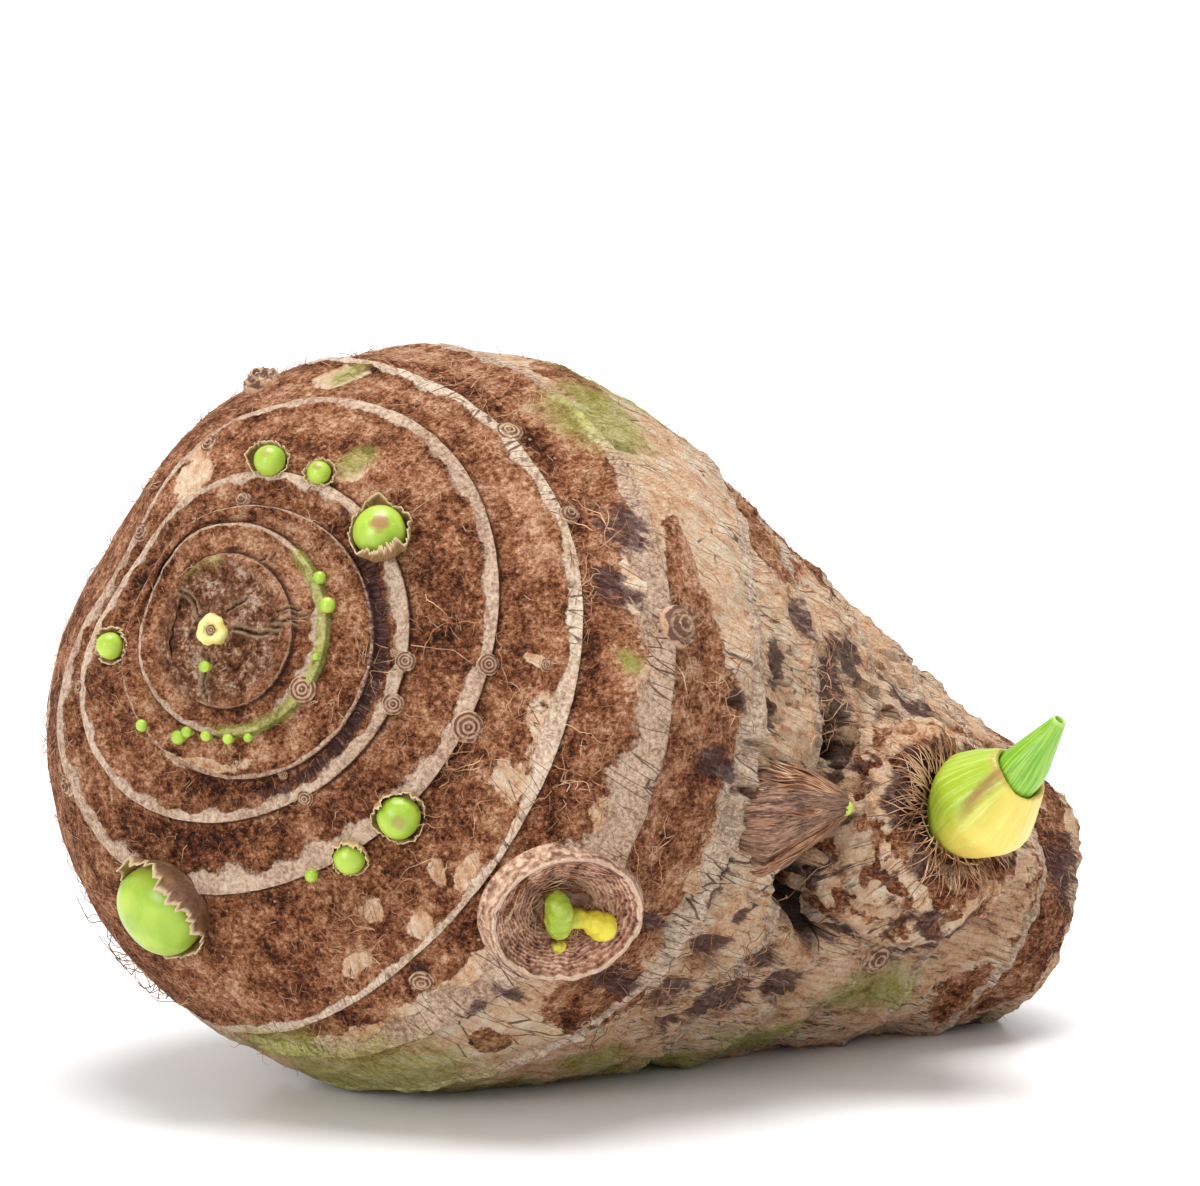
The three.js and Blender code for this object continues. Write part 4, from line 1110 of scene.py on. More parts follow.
HAIRS = (
    ("felt_hairs", {
        "Where": "furry", "Per Square Metre": 2.6e5, "Shortest": 0.0012, "Longest": 0.0034, "Points": 6,
        "Radius": 0.000055,
        "Bend": 0.0012, "Bend Grain": 420.0, "Highest": 0.0009, "Seed": 5,
    }),
    ("curly_roots", {
        "Where": "rooty", "Per Square Metre": 2.3e5, "Shortest": 0.003, "Longest": 0.009, "Points": 14,
        "Radius": 0.000085,
        "Bend": 0.0042, "Bend Grain": 230.0, "Highest": 0.0014, "Seed": 12,
    }),
)
for name, values in HAIRS:
    grown = grow(corm, grow_hairs, {**values, "Finish": root_finish}, name)
    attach(grown, "root")

# Green buds: living side buds, smooth and turgid, each pushed out through the skin above an old
# leaf scar. They are plump caps with a soft gloss, paler where they meet the skin.
BUDS = (
    ("bud_lower_left", 37, -102, 5.9, 5.6, 0.97),
    ("bud_upper", 24, 36, 3.3, 4, 0.92),
    ("bud_low_right", 34, -39, 2.7, 3.2, 0.88),
    ("bud_low_middle", 34, -54, 1.95, 2.3, 0.85),
    ("bud_top_left", 22.5, 82, 2, 3, 0.85),
    ("bud_top_right", 23.5, 65, 1.5, 2.3, 0.85),
    ("bud_left", 15.6, -171, 1.7, 3, 0.8),
    ("bud_far_side", 51, 150, 2.2, 2.6, 0.85),
)
BUD_SINK = 1.6
BUD_SEGMENTS = 64
SOFT_TISSUE, LIGHT_SINKS_IN = 0.12, 0.002


def bud_pairs(radius, height, waist):
    return (
        (0, -BUD_SINK), (radius * waist * 0.5, -BUD_SINK), (radius * waist * 0.9, -BUD_SINK * 0.9),
        (radius * waist, 0), (radius, height * 0.3), (radius * 0.94, height * 0.55),
        (radius * 0.76, height * 0.77), (radius * 0.45, height * 0.93), (radius * 0.2, height * 0.99),
        (0, height),
    )


bud_finish, tree, shader = new_material("green bud", (0.35, 0.6, 0.06))
place = object_place(tree)
up_bud = read(tree, "up_bud")
flecks = noise_of(tree, place, 900.0, 4.0, 0.6)
soft_tint = noise_of(tree, place, 260.0, 2.0, 0.5)
colour = blend_colour(tree, ramp(tree, soft_tint, 0.3, 0.7), (0.24, 0.38, 0.022), (0.37, 0.50, 0.05))
colour = blend_colour(tree, ramp(tree, up_bud, 0.45, 0.05, 0, 0.6), colour, (0.66, 0.70, 0.16))
colour = blend_colour(tree, ramp(tree, flecks, 0.62, 0.75, 0, 0.35), colour, (0.70, 0.80, 0.30))
tip_share = ramp(tree, calculate(tree, "MULTIPLY_ADD", flecks, 0.12, up_bud), 1.0, 1.05, 0, 0.9)
tip_share = calculate(tree, "MULTIPLY", tip_share, read(tree, "brown_tip"))
colour = blend_colour(tree, tip_share, colour, (0.30, 0.14, 0.06))
set_inputs(tree, shader, {
    "Base Color": colour, "Roughness": 0.33, "Subsurface Weight": SOFT_TISSUE,
    "Subsurface Radius": (0.3, 0.5, 0.1), "Subsurface Scale": LIGHT_SINKS_IN,
    "Normal": bump(tree, flecks, 0.12, 0.0002),
})
BROWN_TIPS = {"bud_upper": 1.0, "bud_low_right": 0.6, "bud_top_right": 0.7, "bud_top_left": 0.4}


# A bud by its outline pairs: how far up it turns fully green, the value at its top, and how
# brown its tip is.
def green_cap(name, pairs, segments, place, axes, between, full_height, at_top, brown, reshape=None):
    rings, _, _, heights, _ = turned_rings(pairs, segments, place, axes, between, reshape)
    cap = face_outwards(closed_turned(name, rings))
    add_numbers(cap, "up_bud", inner(np.clip(heights / full_height, 0, 1), 0, at_top))
    add_numbers(cap, "brown_tip", np.full(len(cap.data.vertices), brown))
    cap.data.materials.append(bud_finish)
    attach(cap, "root")
    return cap


for name, far, middle, radius_mm, height_mm, waist in BUDS:
    point, axes = axes_on_skin(far, middle)

    def plump(turns, radii, heights, parts, size=radius_mm):
        swell = 1 + 0.02 * np.sin(3 * turns + size) * np.sin(math.pi * parts)
        return turns, radii * swell, heights

    bud = green_cap(
        name + "_skin", bud_pairs(radius_mm, height_mm, waist), BUD_SEGMENTS, point, axes, 4,
        height_mm, 1, BROWN_TIPS.get(name, 0.0), plump,
    )
    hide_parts(name)

# Tiny bud beads: living buds a millimetre or so across that have only just broken through the
# second scar. They grew from the corm, and each is a plump green cap like the larger buds.
BEADS = (
    (15, 30, 0.8, 1), (15, 16, 1, 1.2), (13, -103, 0.7, 0.9), (13, -91, 0.7, 0.9), (13.5, -78, 0.7, 0.9),
    (14, -67, 0.6, 0.8), (14, -107, 0.9, 1.2), (15.5, -128, 0.8, 1), (4.5, -97, 0.75, 0.8),
    (13.8, -10, 0.45, 0.5),
    (33.5, -64, 0.85, 1.25),
)
BEAD_WAIST, BEAD_SEGMENTS, BEAD_LIFT = 0.85, 20, 0.25
for index, (far, middle, radius_mm, height_mm) in enumerate(BEADS):
    point, axes = axes_on_skin(far, middle, BEAD_LIFT)
    pairs = bud_pairs(radius_mm, height_mm, BEAD_WAIST)
    green_cap(f"bead_{index}", pairs, BEAD_SEGMENTS, point, axes, 2, height_mm, 1, 0.0)

# Papery scales: the thin brown leaf scale that wrapped each bud, torn open as the bud swelled.
# Each is one dry sheet that clings to the bud at its foot, with a jagged edge that curls away.
# A scale is given by its bud and, for angles round it (0 the way the angle grows, 90 towards the
# pole), how far it reaches up the bud, how far it leans off it, and how golden it is.
SCALES = (
    ("scale_lower_left", 0, (
        (-60, 2.6, 0.4, 0.6), (-30, 2.8, 0.9, 0.3), (0, 3.6, 1.6, 0), (25, 4.3, 0.8, 0),
        (55, 4.5, 1.6, 0), (80, 3.7, 2, 0.1),
        (100, 3.5, 2.4, 0.3), (125, 3.2, 1.5, 0.4), (150, 2.7, 0.3, 0.7), (215, 2.4, 0.2, 1),
        (250, 3, 0.4, 1),
        (285, 3.1, 0.6, 0.8),
    )),
    ("scale_upper", 1, (
        (-50, 2.2, 0.3, 0.5), (-20, 3, 1.4, 0.3), (10, 2, 0.3, 0.8), (90, 2.3, 0.3, 0.9),
        (125, 3.6, 0.9, 0.3),
        (165, 4.4, 1.2, 0.2), (200, 4.2, 0.9, 0.3), (235, 3, 0.4, 0.5), (270, 3.6, 0.7, 0.5),
    )),
    ("scale_low_right", 2, (
        (0, 2.6, 0.8, 0.7), (50, 2.2, 0.3, 0.9), (100, 3.3, 0.7, 0.6), (140, 2.3, 0.4, 0.8),
        (200, 2, 0.1, 1),
        (270, 2.8, 0.5, 0.8), (310, 1.9, 0.2, 0.9),
    )),
    (
        "scale_low_middle", 3,
        ((0, 2.3, 0.3, 0.9), (80, 2.4, 0.3, 0.8), (150, 1.8, 0.1, 1), (270, 1.8, 0.2, 1)),
    ),
    (
        "scale_top_left", 4,
        ((0, 2.8, 0.9, 0.3), (60, 1.8, 0.2, 0.7), (180, 1.6, 0.1, 0.9), (300, 2.4, 0.6, 0.4)),
    ),
    ("scale_top_right", 5, ((0, 1.8, 0.3, 0.5), (120, 1.7, 0.2, 0.8), (230, 2, 0.4, 0.5))),
    ("scale_left", 6, ((0, 1.9, 0.4, 0.3), (120, 2.1, 0.5, 0.3), (230, 2.3, 0.6, 0.3))),
    ("scale_far_side", 7, ((0, 2.4, 0.5, 0.5), (120, 2.1, 0.3, 0.6), (230, 2.6, 0.6, 0.4))),
)
SCALE_COLUMNS, SCALE_ROWS = 150, 16
SCALE_THICKNESS = 0.13

scale_finish, tree, shader = new_material("papery scale", (0.4, 0.22, 0.1))
place = object_place(tree)
sheet_way = read(tree, "sheet_way", "Vector")
veins = noise_of(
    tree, result(tree, "ShaderNodeMapping", {"Vector": sheet_way, "Scale": (9, 1, 1)}), 1.6, 4.0, 0.6,
)
blotch = noise_of(tree, place, 420.0, 4.0, 0.6)
colour = blend_colour(tree, ramp(tree, veins, 0.36, 0.64), (0.07, 0.028, 0.016), (0.30, 0.14, 0.07))
colour = blend_colour(tree, ramp(tree, blotch, 0.5, 0.7, 0, 0.6), colour, (0.45, 0.22, 0.09))
colour = blend_colour(
    tree, calculate(tree, "MULTIPLY", read(tree, "golden"), 0.85), colour,
    blend_colour(tree, veins, (0.36, 0.22, 0.05), (0.66, 0.46, 0.16)),
)
colour = blend_colour(
    tree, ramp(tree, read(tree, "to_rim"), 0.84, 0.97, 0, 0.85), colour, (0.66, 0.50, 0.30),
)
set_inputs(tree, shader, {
    "Base Color": colour, "Roughness": ramp(tree, veins, 0.3, 0.7, 0.32, 0.6),
    "Normal": bump(tree, calculate(tree, "ADD", veins, blotch), 0.6, 0.0003),
})


def around(pairs, column, turn_degrees):
    turns = [pair[0] for pair in pairs]
    values = [pair[column] for pair in pairs]
    return np.interp(turn_degrees % 360, [t % 360 for t in turns], values, period=360)


# A torn papery sheet that wraps a turned shape given by its pairs, as a thin piece with an edge.
def papery_sheet(name, wrap, place, axes, edge_pairs, seed):
    wrap_line = rounded(np.array(wrap, float), 8)
    wrap_length = lengths_along(wrap_line)
    degrees = np.linspace(0, 360, SCALE_COLUMNS, endpoint=False)
    reach, lean, golden = (around(edge_pairs, column, degrees) for column in (1, 2, 3))
    jag_place = np.stack(
        [np.cos(np.radians(degrees)), np.sin(np.radians(degrees)), np.full(SCALE_COLUMNS, seed)], -1,
    )
    jag = grain(jag_place, 160, 3) * 0.9 + grain(jag_place, 45, 2) * 0.55
    reach = reach * (1 + 0.17 * jag) + 0.15 * jag
    part = np.linspace(0, 1, SCALE_ROWS)[:, None]
    up = part * reach
    wrap_radius = np.interp(up, wrap_length, wrap_line[:, 0])
    wrap_height = np.interp(up, wrap_length, wrap_line[:, 1])
    slope_r = np.interp(up + 0.1, wrap_length, wrap_line[:, 0]) - np.interp(
        up - 0.1, wrap_length, wrap_line[:, 0],
    )
    slope_h = np.interp(up + 0.1, wrap_length, wrap_line[:, 1]) - np.interp(
        up - 0.1, wrap_length, wrap_line[:, 1],
    )
    size = np.hypot(slope_r, slope_h) + 1e-6
    ones = np.ones_like(up)
    fold_place = np.stack(
        [np.cos(np.radians(degrees)) * ones, np.sin(np.radians(degrees)) * ones, up * 0.12], -1,
    )
    folds = grain(fold_place, 300, 3, seed * 7.0)
    off = 0.22 + lean * part**1.7 + folds * 0.55 * part * np.minimum(reach / 4, 1)
    off = np.maximum(off, 0.16)
    spot_r = wrap_radius + off * slope_h / size
    spot_h = wrap_height - off * slope_r / size
    turns = np.radians(degrees) * ones
    sheet = placed(place, axes, spot_r, turns, spot_h)
    index = np.arange(SCALE_COLUMNS)
    after = (index + 1) % SCALE_COLUMNS
    quads = np.vstack([
        np.stack([row * SCALE_COLUMNS + index, row * SCALE_COLUMNS + after,
                  (row + 1) * SCALE_COLUMNS + after, (row + 1) * SCALE_COLUMNS + index], 1)
        for row in range(SCALE_ROWS - 1)
    ])
    mesh = bpy.data.meshes.new(name)
    mesh.from_pydata(sheet.reshape(-1, 3).tolist(), [], quads.tolist())
    mesh.polygons.foreach_set("use_smooth", np.ones(len(quads), bool))
    piece = new_object(name, mesh)
    add_numbers(piece, "golden", (golden * ones).ravel())
    add_numbers(piece, "to_rim", (part * ones).ravel())
    add_vectors(
        piece, "sheet_way", np.stack([turns * wrap_line[:, 0].max(), up, 0 * up], -1).reshape(-1, 3),
    )
    thicken = piece.modifiers.new("thickness", "SOLIDIFY")
    thicken.thickness = SCALE_THICKNESS * MM
    thicken.offset = 0
    piece.data.materials.append(scale_finish)
    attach(piece, "root")
    return piece


for name, bud_index, edge_pairs in SCALES:
    _, far, middle, radius_mm, height_mm, waist = BUDS[bud_index]
    point, axes = axes_on_skin(far, middle)
    wrap = bud_pairs(radius_mm, height_mm, waist)[3:]
    scale_piece = papery_sheet(
        name + "_sheet", [(wrap[0][0], -1.0), *wrap], point, axes, edge_pairs, bud_index,
    )
    if bud_index < 2:
        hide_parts(name)

# The growing point in the middle of the dome: the closed tip that the next leaves come from. It
# is a yellow-green disc with a brown ringed dimple, and it grew from the corm.
POLE_DISC = (
    (0, -1.2), (1.9, -1.2), (1.95, 0.1), (1.75, 0.65), (1.35, 0.85), (0.95, 0.75), (0.75, 0.45), (0.5, 0.6),
    (0.3, 0.4), (0, 0.5),
)
_, near_pole_axes = axes_on_skin(0.6, 0, 0.1)
_, pole_out, _ = skin_at(0.0, 0.0)
pole_axes = (*near_pole_axes[:2], pole_out)


def uneven_disc(turns, radii, heights, parts):
    wobble = 0.06 * np.sin(3 * turns + 1) + 0.04 * np.sin(7 * turns)
    return turns, radii * (1 + wobble), heights + 0.07 * np.sin(5 * turns) * (radii > 0.6)


rings, _, radii, heights, _ = turned_rings(POLE_DISC, 48, pole_point, pole_axes, 5, uneven_disc)
pole_disc = face_outwards(closed_turned("growing_point", rings))
add_numbers(pole_disc, "from_middle", inner(radii, 2, 0))
pole_finish, tree, shader = new_material("growing point", (0.6, 0.5, 0.15))
place = object_place(tree)
from_middle = read(tree, "from_middle")
tint = noise_of(tree, place, 700.0, 3.0, 0.6)
colour = blend_colour(tree, ramp(tree, tint, 0.35, 0.65), (0.50, 0.42, 0.09), (0.68, 0.60, 0.24))
core = ramp(tree, calculate(tree, "MULTIPLY_ADD", tint, 0.5, from_middle), 1.15, 0.85)
rings_in = calculate(tree, "SINE", calculate(tree, "MULTIPLY", from_middle, 20.0))
colour = blend_colour(
    tree, core, colour,
    blend_colour(tree, ramp(tree, rings_in, -0.5, 0.5), (0.10, 0.05, 0.025), (0.42, 0.27, 0.12)),
)
set_inputs(
    tree, shader, {"Base Color": colour, "Roughness": 0.5, "Normal": bump(tree, tint, 0.3, 0.0002)},
)
pole_disc.data.materials.append(pole_finish)
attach(pole_disc, "root")

# The torn bud: the oval scar where a side bud was torn out, with a pale rim, a fibrous brown bowl
# and the yellow-green stump of the sprout still in it. The bowl is part of the corm.
TORN_PAIRS = (
    (9.7, -1.8), (9.35, -0.4), (9.05, 0.45), (8.8, 0.8), (8.55, 0.85), (8.3, 0.6), (8.05, 0.1),
    (7.3, -0.8), (6.2, -1.6),
    (4.8, -2.2), (3.2, -2.6), (1.6, -2.5), (0, -2.4),
)
torn_point, torn_axes = axes_on_skin(*TORN_BUD)
torn_long_axes = (torn_axes[0], torn_axes[1] * TORN_STRETCH, torn_axes[2])


def torn_shape(turns, radii, heights, parts):
    spot = np.stack([radii * np.cos(turns), radii * np.sin(turns), heights], -1) * MM
    rough = grain(spot, 2.4, 3, 5)
    inside = smooth(8, 7, radii)
    blocks = smooth(0.5, 0.9, np.sin(11 * turns)) * smooth(
        75, 45, np.abs(turn_between(np.degrees(turns), 150)),
    )
    crest = np.exp(-((radii - 8.6) / 0.5) ** 2)
    heights = heights + rough * (0.25 + 0.45 * inside) - 0.6 * blocks * crest
    return turns, radii * (1 + 0.02 * rough), heights


rings, turns, radii, heights, _ = turned_rings(TORN_PAIRS, 200, torn_point, torn_long_axes, 5, torn_shape)
torn_bowl = skin_mesh(
    "torn_bud_bowl", list(rings[:-1]), rings[0].mean(0) - torn_axes[2] * 2 * MM, rings[-1].mean(0),
)
face_outwards(torn_bowl)
add_numbers(torn_bowl, "from_middle", np.concatenate([[9.7], radii[:-1].ravel(), [0]]))
add_numbers(torn_bowl, "round_turn", np.concatenate([[0], np.cos(turns[:-1]).ravel(), [0]]))
torn_finish, tree, shader = new_material("torn bud bowl", (0.2, 0.1, 0.06))
place = object_place(tree)
from_middle = read(tree, "from_middle")
tint = noise_of(tree, place, 500.0, 5.0, 0.65)
fine = noise_of(tree, place, 1500.0, 3.0, 0.6)
hoops = calculate(
    tree, "SINE",
    calculate(tree, "MULTIPLY_ADD", tint, 16.0, calculate(tree, "MULTIPLY", from_middle, 15.0)),
)
bowl_value = mixed(
    tree, (tint, 1.6), (fine, 1.5), (calculate(tree, "MULTIPLY_ADD", hoops, 0.5, 0.5), 0.28),
)
bowl_colour = colour_steps(tree, bowl_value, (
    (0.1, (0.050, 0.018, 0.011)), (0.4, (0.27, 0.115, 0.068)), (0.6, (0.45, 0.230, 0.150)),
    (0.9, (0.70, 0.47, 0.34)),
))
# Painted shade: the bowl darkens to near black towards its middle, round the foot of the stump.
bowl_colour = blend_colour(tree, ramp(tree, from_middle, 5.2, 2.4, 0, 0.7), bowl_colour, (0.045, 0.020, 0.012))
wobbly = shaken(tree, from_middle, tint, 1.0)
slope_colour = colour_steps(
    tree, bowl_value,
    ((0.15, (0.14, 0.06, 0.035)), (0.5, (0.38, 0.21, 0.13)), (0.85, (0.62, 0.43, 0.30))),
)
crest = calculate(tree, "MULTIPLY", ramp(tree, wobbly, 8.2, 8.4), ramp(tree, wobbly, 9.0, 8.75))
colour = blend_colour(tree, ramp(tree, wobbly, 8.1, 8.4), bowl_colour, slope_colour)
colour = blend_colour(tree, calculate(tree, "MULTIPLY", crest, 0.5), colour, (0.74, 0.56, 0.41))
set_inputs(tree, shader, {
    "Base Color": colour, "Roughness": 0.85,
    "Normal": bump(tree, calculate(tree, "MULTIPLY_ADD", hoops, 0.4, fine), 0.7, 0.0003),
})
torn_bowl.data.materials.append(torn_finish)
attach(torn_bowl, "root")

# Lobes of the stump: place round the corm, towards the pole and outwards, then the three radii.
STUMP_LOBES = (
    (1.2, 2.0, -0.2, 1.5, 1.5, 2.4), (0.3, 1.2, -0.3, 1.8, 1.7, 2.3), (-0.6, 0.4, -0.5, 1.9, 1.8, 2.2),
    (-1.9, -0.6, -0.9, 1.6, 1.5, 1.9), (0, -2.3, -1.1, 1.3, 1.5, 1.6), (0.4, -4.5, -0.7, 1.6, 1.5, 2.1),
    (0.3, -6.1, -0.5, 1.9, 1.5, 2.1), (-4.6, -2.7, -1.5, 1.0, 1.1, 1.1),
    (-0.4, -2.2, -2.7, 3.4, 5.2, 1.0),
)
LOBE_SEGMENTS, LOBE_RINGS, LOBE_TILT = 32, 14, 1.5
STUMP_VOXEL, STUMP_SOFTENING, STUMP_SOFTENED_TIMES = 0.00024, 0.6, 4
stump_points, stump_faces = [], []
for across, up, out, wide, tall, deep in STUMP_LOBES:
    turns, tilts = np.meshgrid(
        np.linspace(0, 2 * np.pi, LOBE_SEGMENTS, endpoint=False),
        np.linspace(-LOBE_TILT, LOBE_TILT, LOBE_RINGS),
    )
    spots = (
        torn_point + torn_axes[0] * ((across + wide * np.cos(tilts) * np.cos(turns)) * MM)[..., None]
        + torn_axes[1] * ((up + tall * np.cos(tilts) * np.sin(turns)) * MM)[..., None]
        + torn_axes[2] * ((out + deep * np.sin(tilts)) * MM)[..., None]
    )
    lobe = face_outwards(skin_mesh("lobe", list(spots), spots[0].mean(0), spots[-1].mean(0)))
    start = len(stump_points)
    stump_points += [tuple(v.co) for v in lobe.data.vertices]
    stump_faces += [tuple(start + v for v in face.vertices) for face in lobe.data.polygons]
    bpy.data.objects.remove(lobe)
mesh = bpy.data.meshes.new("stump")
mesh.from_pydata(stump_points, [], stump_faces)
rough_stump = new_object("stump", mesh)
join = rough_stump.modifiers.new("join", "REMESH")
join.mode = "VOXEL"
join.voxel_size = STUMP_VOXEL
join.use_smooth_shade = True
soften = rough_stump.modifiers.new("soften", "SMOOTH")
soften.factor = STUMP_SOFTENING
soften.iterations = STUMP_SOFTENED_TIMES
mesh = bpy.data.meshes.new_from_object(rough_stump.evaluated_get(bpy.context.evaluated_depsgraph_get()))
bpy.data.objects.remove(rough_stump)
stump = new_object("torn_stump", mesh)
corners = np.array([v.co for v in mesh.vertices])
outwards = np.array([v.normal for v in mesh.vertices])
rough = grain(corners, 1.3, 3, 3)
corners = corners + outwards * (rough * 0.22 * MM)[:, None]
mesh.vertices.foreach_set("co", corners.ravel())
mesh.update()
local = (corners - torn_point) / MM
add_numbers(stump, "up_corm", local @ torn_axes[1])
add_numbers(stump, "out_of_skin", local @ torn_axes[2])
stump_finish, tree, shader = new_material("torn sprout", (0.5, 0.5, 0.05))
place = object_place(tree)
tint = noise_of(tree, place, 420.0, 4.0, 0.6)
fine = noise_of(tree, place, 1600.0, 3.0, 0.6)
yellowness = ramp(tree, calculate(tree, "MULTIPLY_ADD", tint, 4.0, read(tree, "up_corm")), 2.2, -1.4)
colour = blend_colour(tree, yellowness, (0.26, 0.36, 0.025), (0.62, 0.52, 0.03))
colour = blend_colour(tree, ramp(tree, tint, 0.56, 0.7, 0, 0.5), colour, (0.75, 0.70, 0.16))
# Painted shade: darker brown at the stump's foot, where it sits down in the bowl.
colour = blend_colour(
    tree, ramp(tree, calculate(tree, "MULTIPLY_ADD", fine, -2.2, read(tree, "out_of_skin")), -1.6, -2.6),
    colour, (0.14, 0.06, 0.02),
)
set_inputs(
    tree, shader, {"Base Color": colour, "Roughness": 0.42, "Normal": bump(tree, fine, 0.35, 0.0002)},
)
stump.data.materials.append(stump_finish)
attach(stump, "root")
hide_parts("torn_sprout")

# Torn fibres in the bowl, round the stump.
TORN_FIBRES, TORN_SEED = 150, 21
BOWL_REACHES, BOWL_HEIGHTS = (0, 3.2, 6.2, 8, 8.6), (-2.3, -2.4, -1.4, 0.3, 0.9)
torn_chance = np.random.default_rng(TORN_SEED)


# Thin tubes along paths in metres, each with a radius in millimetres that thins to its tip.
def tubes(name, paths, radii_mm, finish):
    line = bpy.data.curves.new(name, "CURVE")
    line.dimensions = "3D"
    line.bevel_depth = 1.0
    line.bevel_resolution = 0
    for path, radius_mm in zip(paths, radii_mm):
        spline = line.splines.new("POLY")
        spline.points.add(len(path) - 1)
        spline.points.foreach_set("co", np.hstack([path, np.ones((len(path), 1))]).ravel())
        taper = 1 - 0.75 * np.linspace(0, 1, len(path)) ** 2
        spline.points.foreach_set("radius", radius_mm * MM * taper)
    holder = new_object(name, line)
    mesh = bpy.data.meshes.new_from_object(holder.evaluated_get(bpy.context.evaluated_depsgraph_get()))
    bpy.data.objects.remove(holder)
    piece = new_object(name, mesh)
    piece.data.materials.clear()
    piece.data.materials.append(finish)
    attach(piece, "root")
    return piece


paths = []
for turn, start_mm, length_mm, bend in zip(
    torn_chance.uniform(0, 2 * np.pi, TORN_FIBRES), torn_chance.uniform(1.5, 6, TORN_FIBRES),
    torn_chance.uniform(1.2, 4, TORN_FIBRES), torn_chance.normal(0, 0.9, TORN_FIBRES),
):
    part = np.linspace(0, 1, 8)
    bowl_reach = start_mm + length_mm * part * 0.5
    turned_by = turn + bend * part / np.maximum(start_mm / 3, 1)
    rise = np.interp(bowl_reach, BOWL_REACHES, BOWL_HEIGHTS) + 0.15 + 0.9 * np.sin(math.pi * part * 0.8)
    paths.append(placed(torn_point, torn_long_axes, bowl_reach, turned_by, rise))
tubes("torn_bud_fibres", paths, torn_chance.uniform(0.04, 0.08, TORN_FIBRES), root_finish)

# The cone bud: a dead side bud on the neck, wrapped in brown fibres that draw together at its tip.
# It leans outwards and up beside the dark crevice, and grew from the corm itself.
CONE_SPOT = (103, 1)
CONE_LEAN_OUT, CONE_LEAN_ROUND = 0.375, 0.47
CONE_LENGTH, CONE_BASE, CONE_TIP, CONE_SINK, CONE_TAPER = 12.0, 8.0, 1.5, 3.5, 1.15
cone_point, cone_axes = axes_on_skin(*CONE_SPOT)
_, _, cone_along = skin_at(*CONE_SPOT)
cone_direction = unit(cone_along + cone_axes[2] * CONE_LEAN_OUT + cone_axes[0] * CONE_LEAN_ROUND)
cone_foot = cone_point - cone_axes[2] * CONE_SINK * MM
cone_across = unit(np.cross(cone_direction, cone_axes[2]))
cone_frame = (cone_across, np.cross(cone_direction, cone_across), cone_direction)
cone_parts = np.linspace(0, 1, 12)
cone_pairs = [(0, -4), (CONE_BASE - 2.6, -4), (CONE_BASE - 0.6, -1.6)]
cone_pairs += [
    (CONE_BASE + (CONE_TIP - CONE_BASE) * part**CONE_TAPER, CONE_LENGTH * part)
    for part in cone_parts
]
cone_pairs += [(CONE_TIP * 0.5, CONE_LENGTH + 0.5), (0, CONE_LENGTH + 0.7)]


def fibrous(turns, radii, heights, parts):
    spot = np.stack([np.cos(turns) * 3, np.sin(turns) * 3, heights * 0.05], -1) * MM
    strands = grain(spot, 0.42, 2, 8)
    clumps = grain(spot, 1.5, 2, 2)
    folds = 0.8 * np.sin(3 * turns + 0.8) + 0.5 * np.sin(5 * turns + 2.2)
    return turns, np.maximum(
        radii + (0.8 * strands + 1.1 * clumps + folds) * np.minimum(radii / 6, 1), 0,
    ), heights


rings, turns, radii, heights, _ = turned_rings(cone_pairs, 260, cone_foot, cone_frame, 4, fibrous)
cone = face_outwards(closed_turned("cone_bud_skin", rings))
add_vectors(cone, "strand_way", way_along(3, turns, heights, CONE_LENGTH))

fibre_finish, tree, shader = new_material("brown fibre", (0.2, 0.1, 0.06))
strand_place = result(
    tree, "ShaderNodeMapping", {"Vector": read(tree, "strand_way", "Vector"), "Scale": (1, 1, 0.06)},
)
strands = noise_of(tree, strand_place, 5.0, 4.0, 0.6)
thin = noise_of(tree, strand_place, 17.0, 3.0, 0.6)
both = calculate(
    tree, "ADD", calculate(tree, "MULTIPLY", strands, 0.6), calculate(tree, "MULTIPLY", thin, 0.5),
)
colour = blend_colour(tree, ramp(tree, both, 0.44, 0.66), (0.075, 0.030, 0.018), (0.36, 0.19, 0.115))
colour = blend_colour(tree, ramp(tree, thin, 0.56, 0.7, 0, 0.7), colour, (0.50, 0.32, 0.20))
set_inputs(
    tree, shader, {"Base Color": colour, "Roughness": 0.8, "Normal": bump(tree, both, 0.9, 0.0006)},
)
cone.data.materials.append(fibre_finish)
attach(cone, "root")

# Loose strands over the cone, from its foot to its tip.
STRANDS, STRAND_SEED = 260, 11
strand_chance = np.random.default_rng(STRAND_SEED)

# Fibres that lie out over the cormel's collar from the foot of the shoot: drawn here, by the same
# chance as the strands, and placed with the cormel.
COLLAR_FIBRES = 230
collar_paths = []
for turn, start_mm, length_mm, bend in zip(
    strand_chance.uniform(0, 2 * np.pi, COLLAR_FIBRES), strand_chance.uniform(4.6, 7, COLLAR_FIBRES),
    strand_chance.uniform(2.5, 6.5, COLLAR_FIBRES), strand_chance.normal(0, 0.22, COLLAR_FIBRES),
):
    part = np.linspace(0, 1, 9)
    collar_reach = start_mm + length_mm * part
    turned_by = turn + bend * part**1.5
    rise = 10.9 + 0.5 * np.sin(math.pi * part) - 0.9 * smooth(9.5, 13, collar_reach) * (collar_reach - 9)
    collar_paths.append((collar_reach, turned_by, rise))

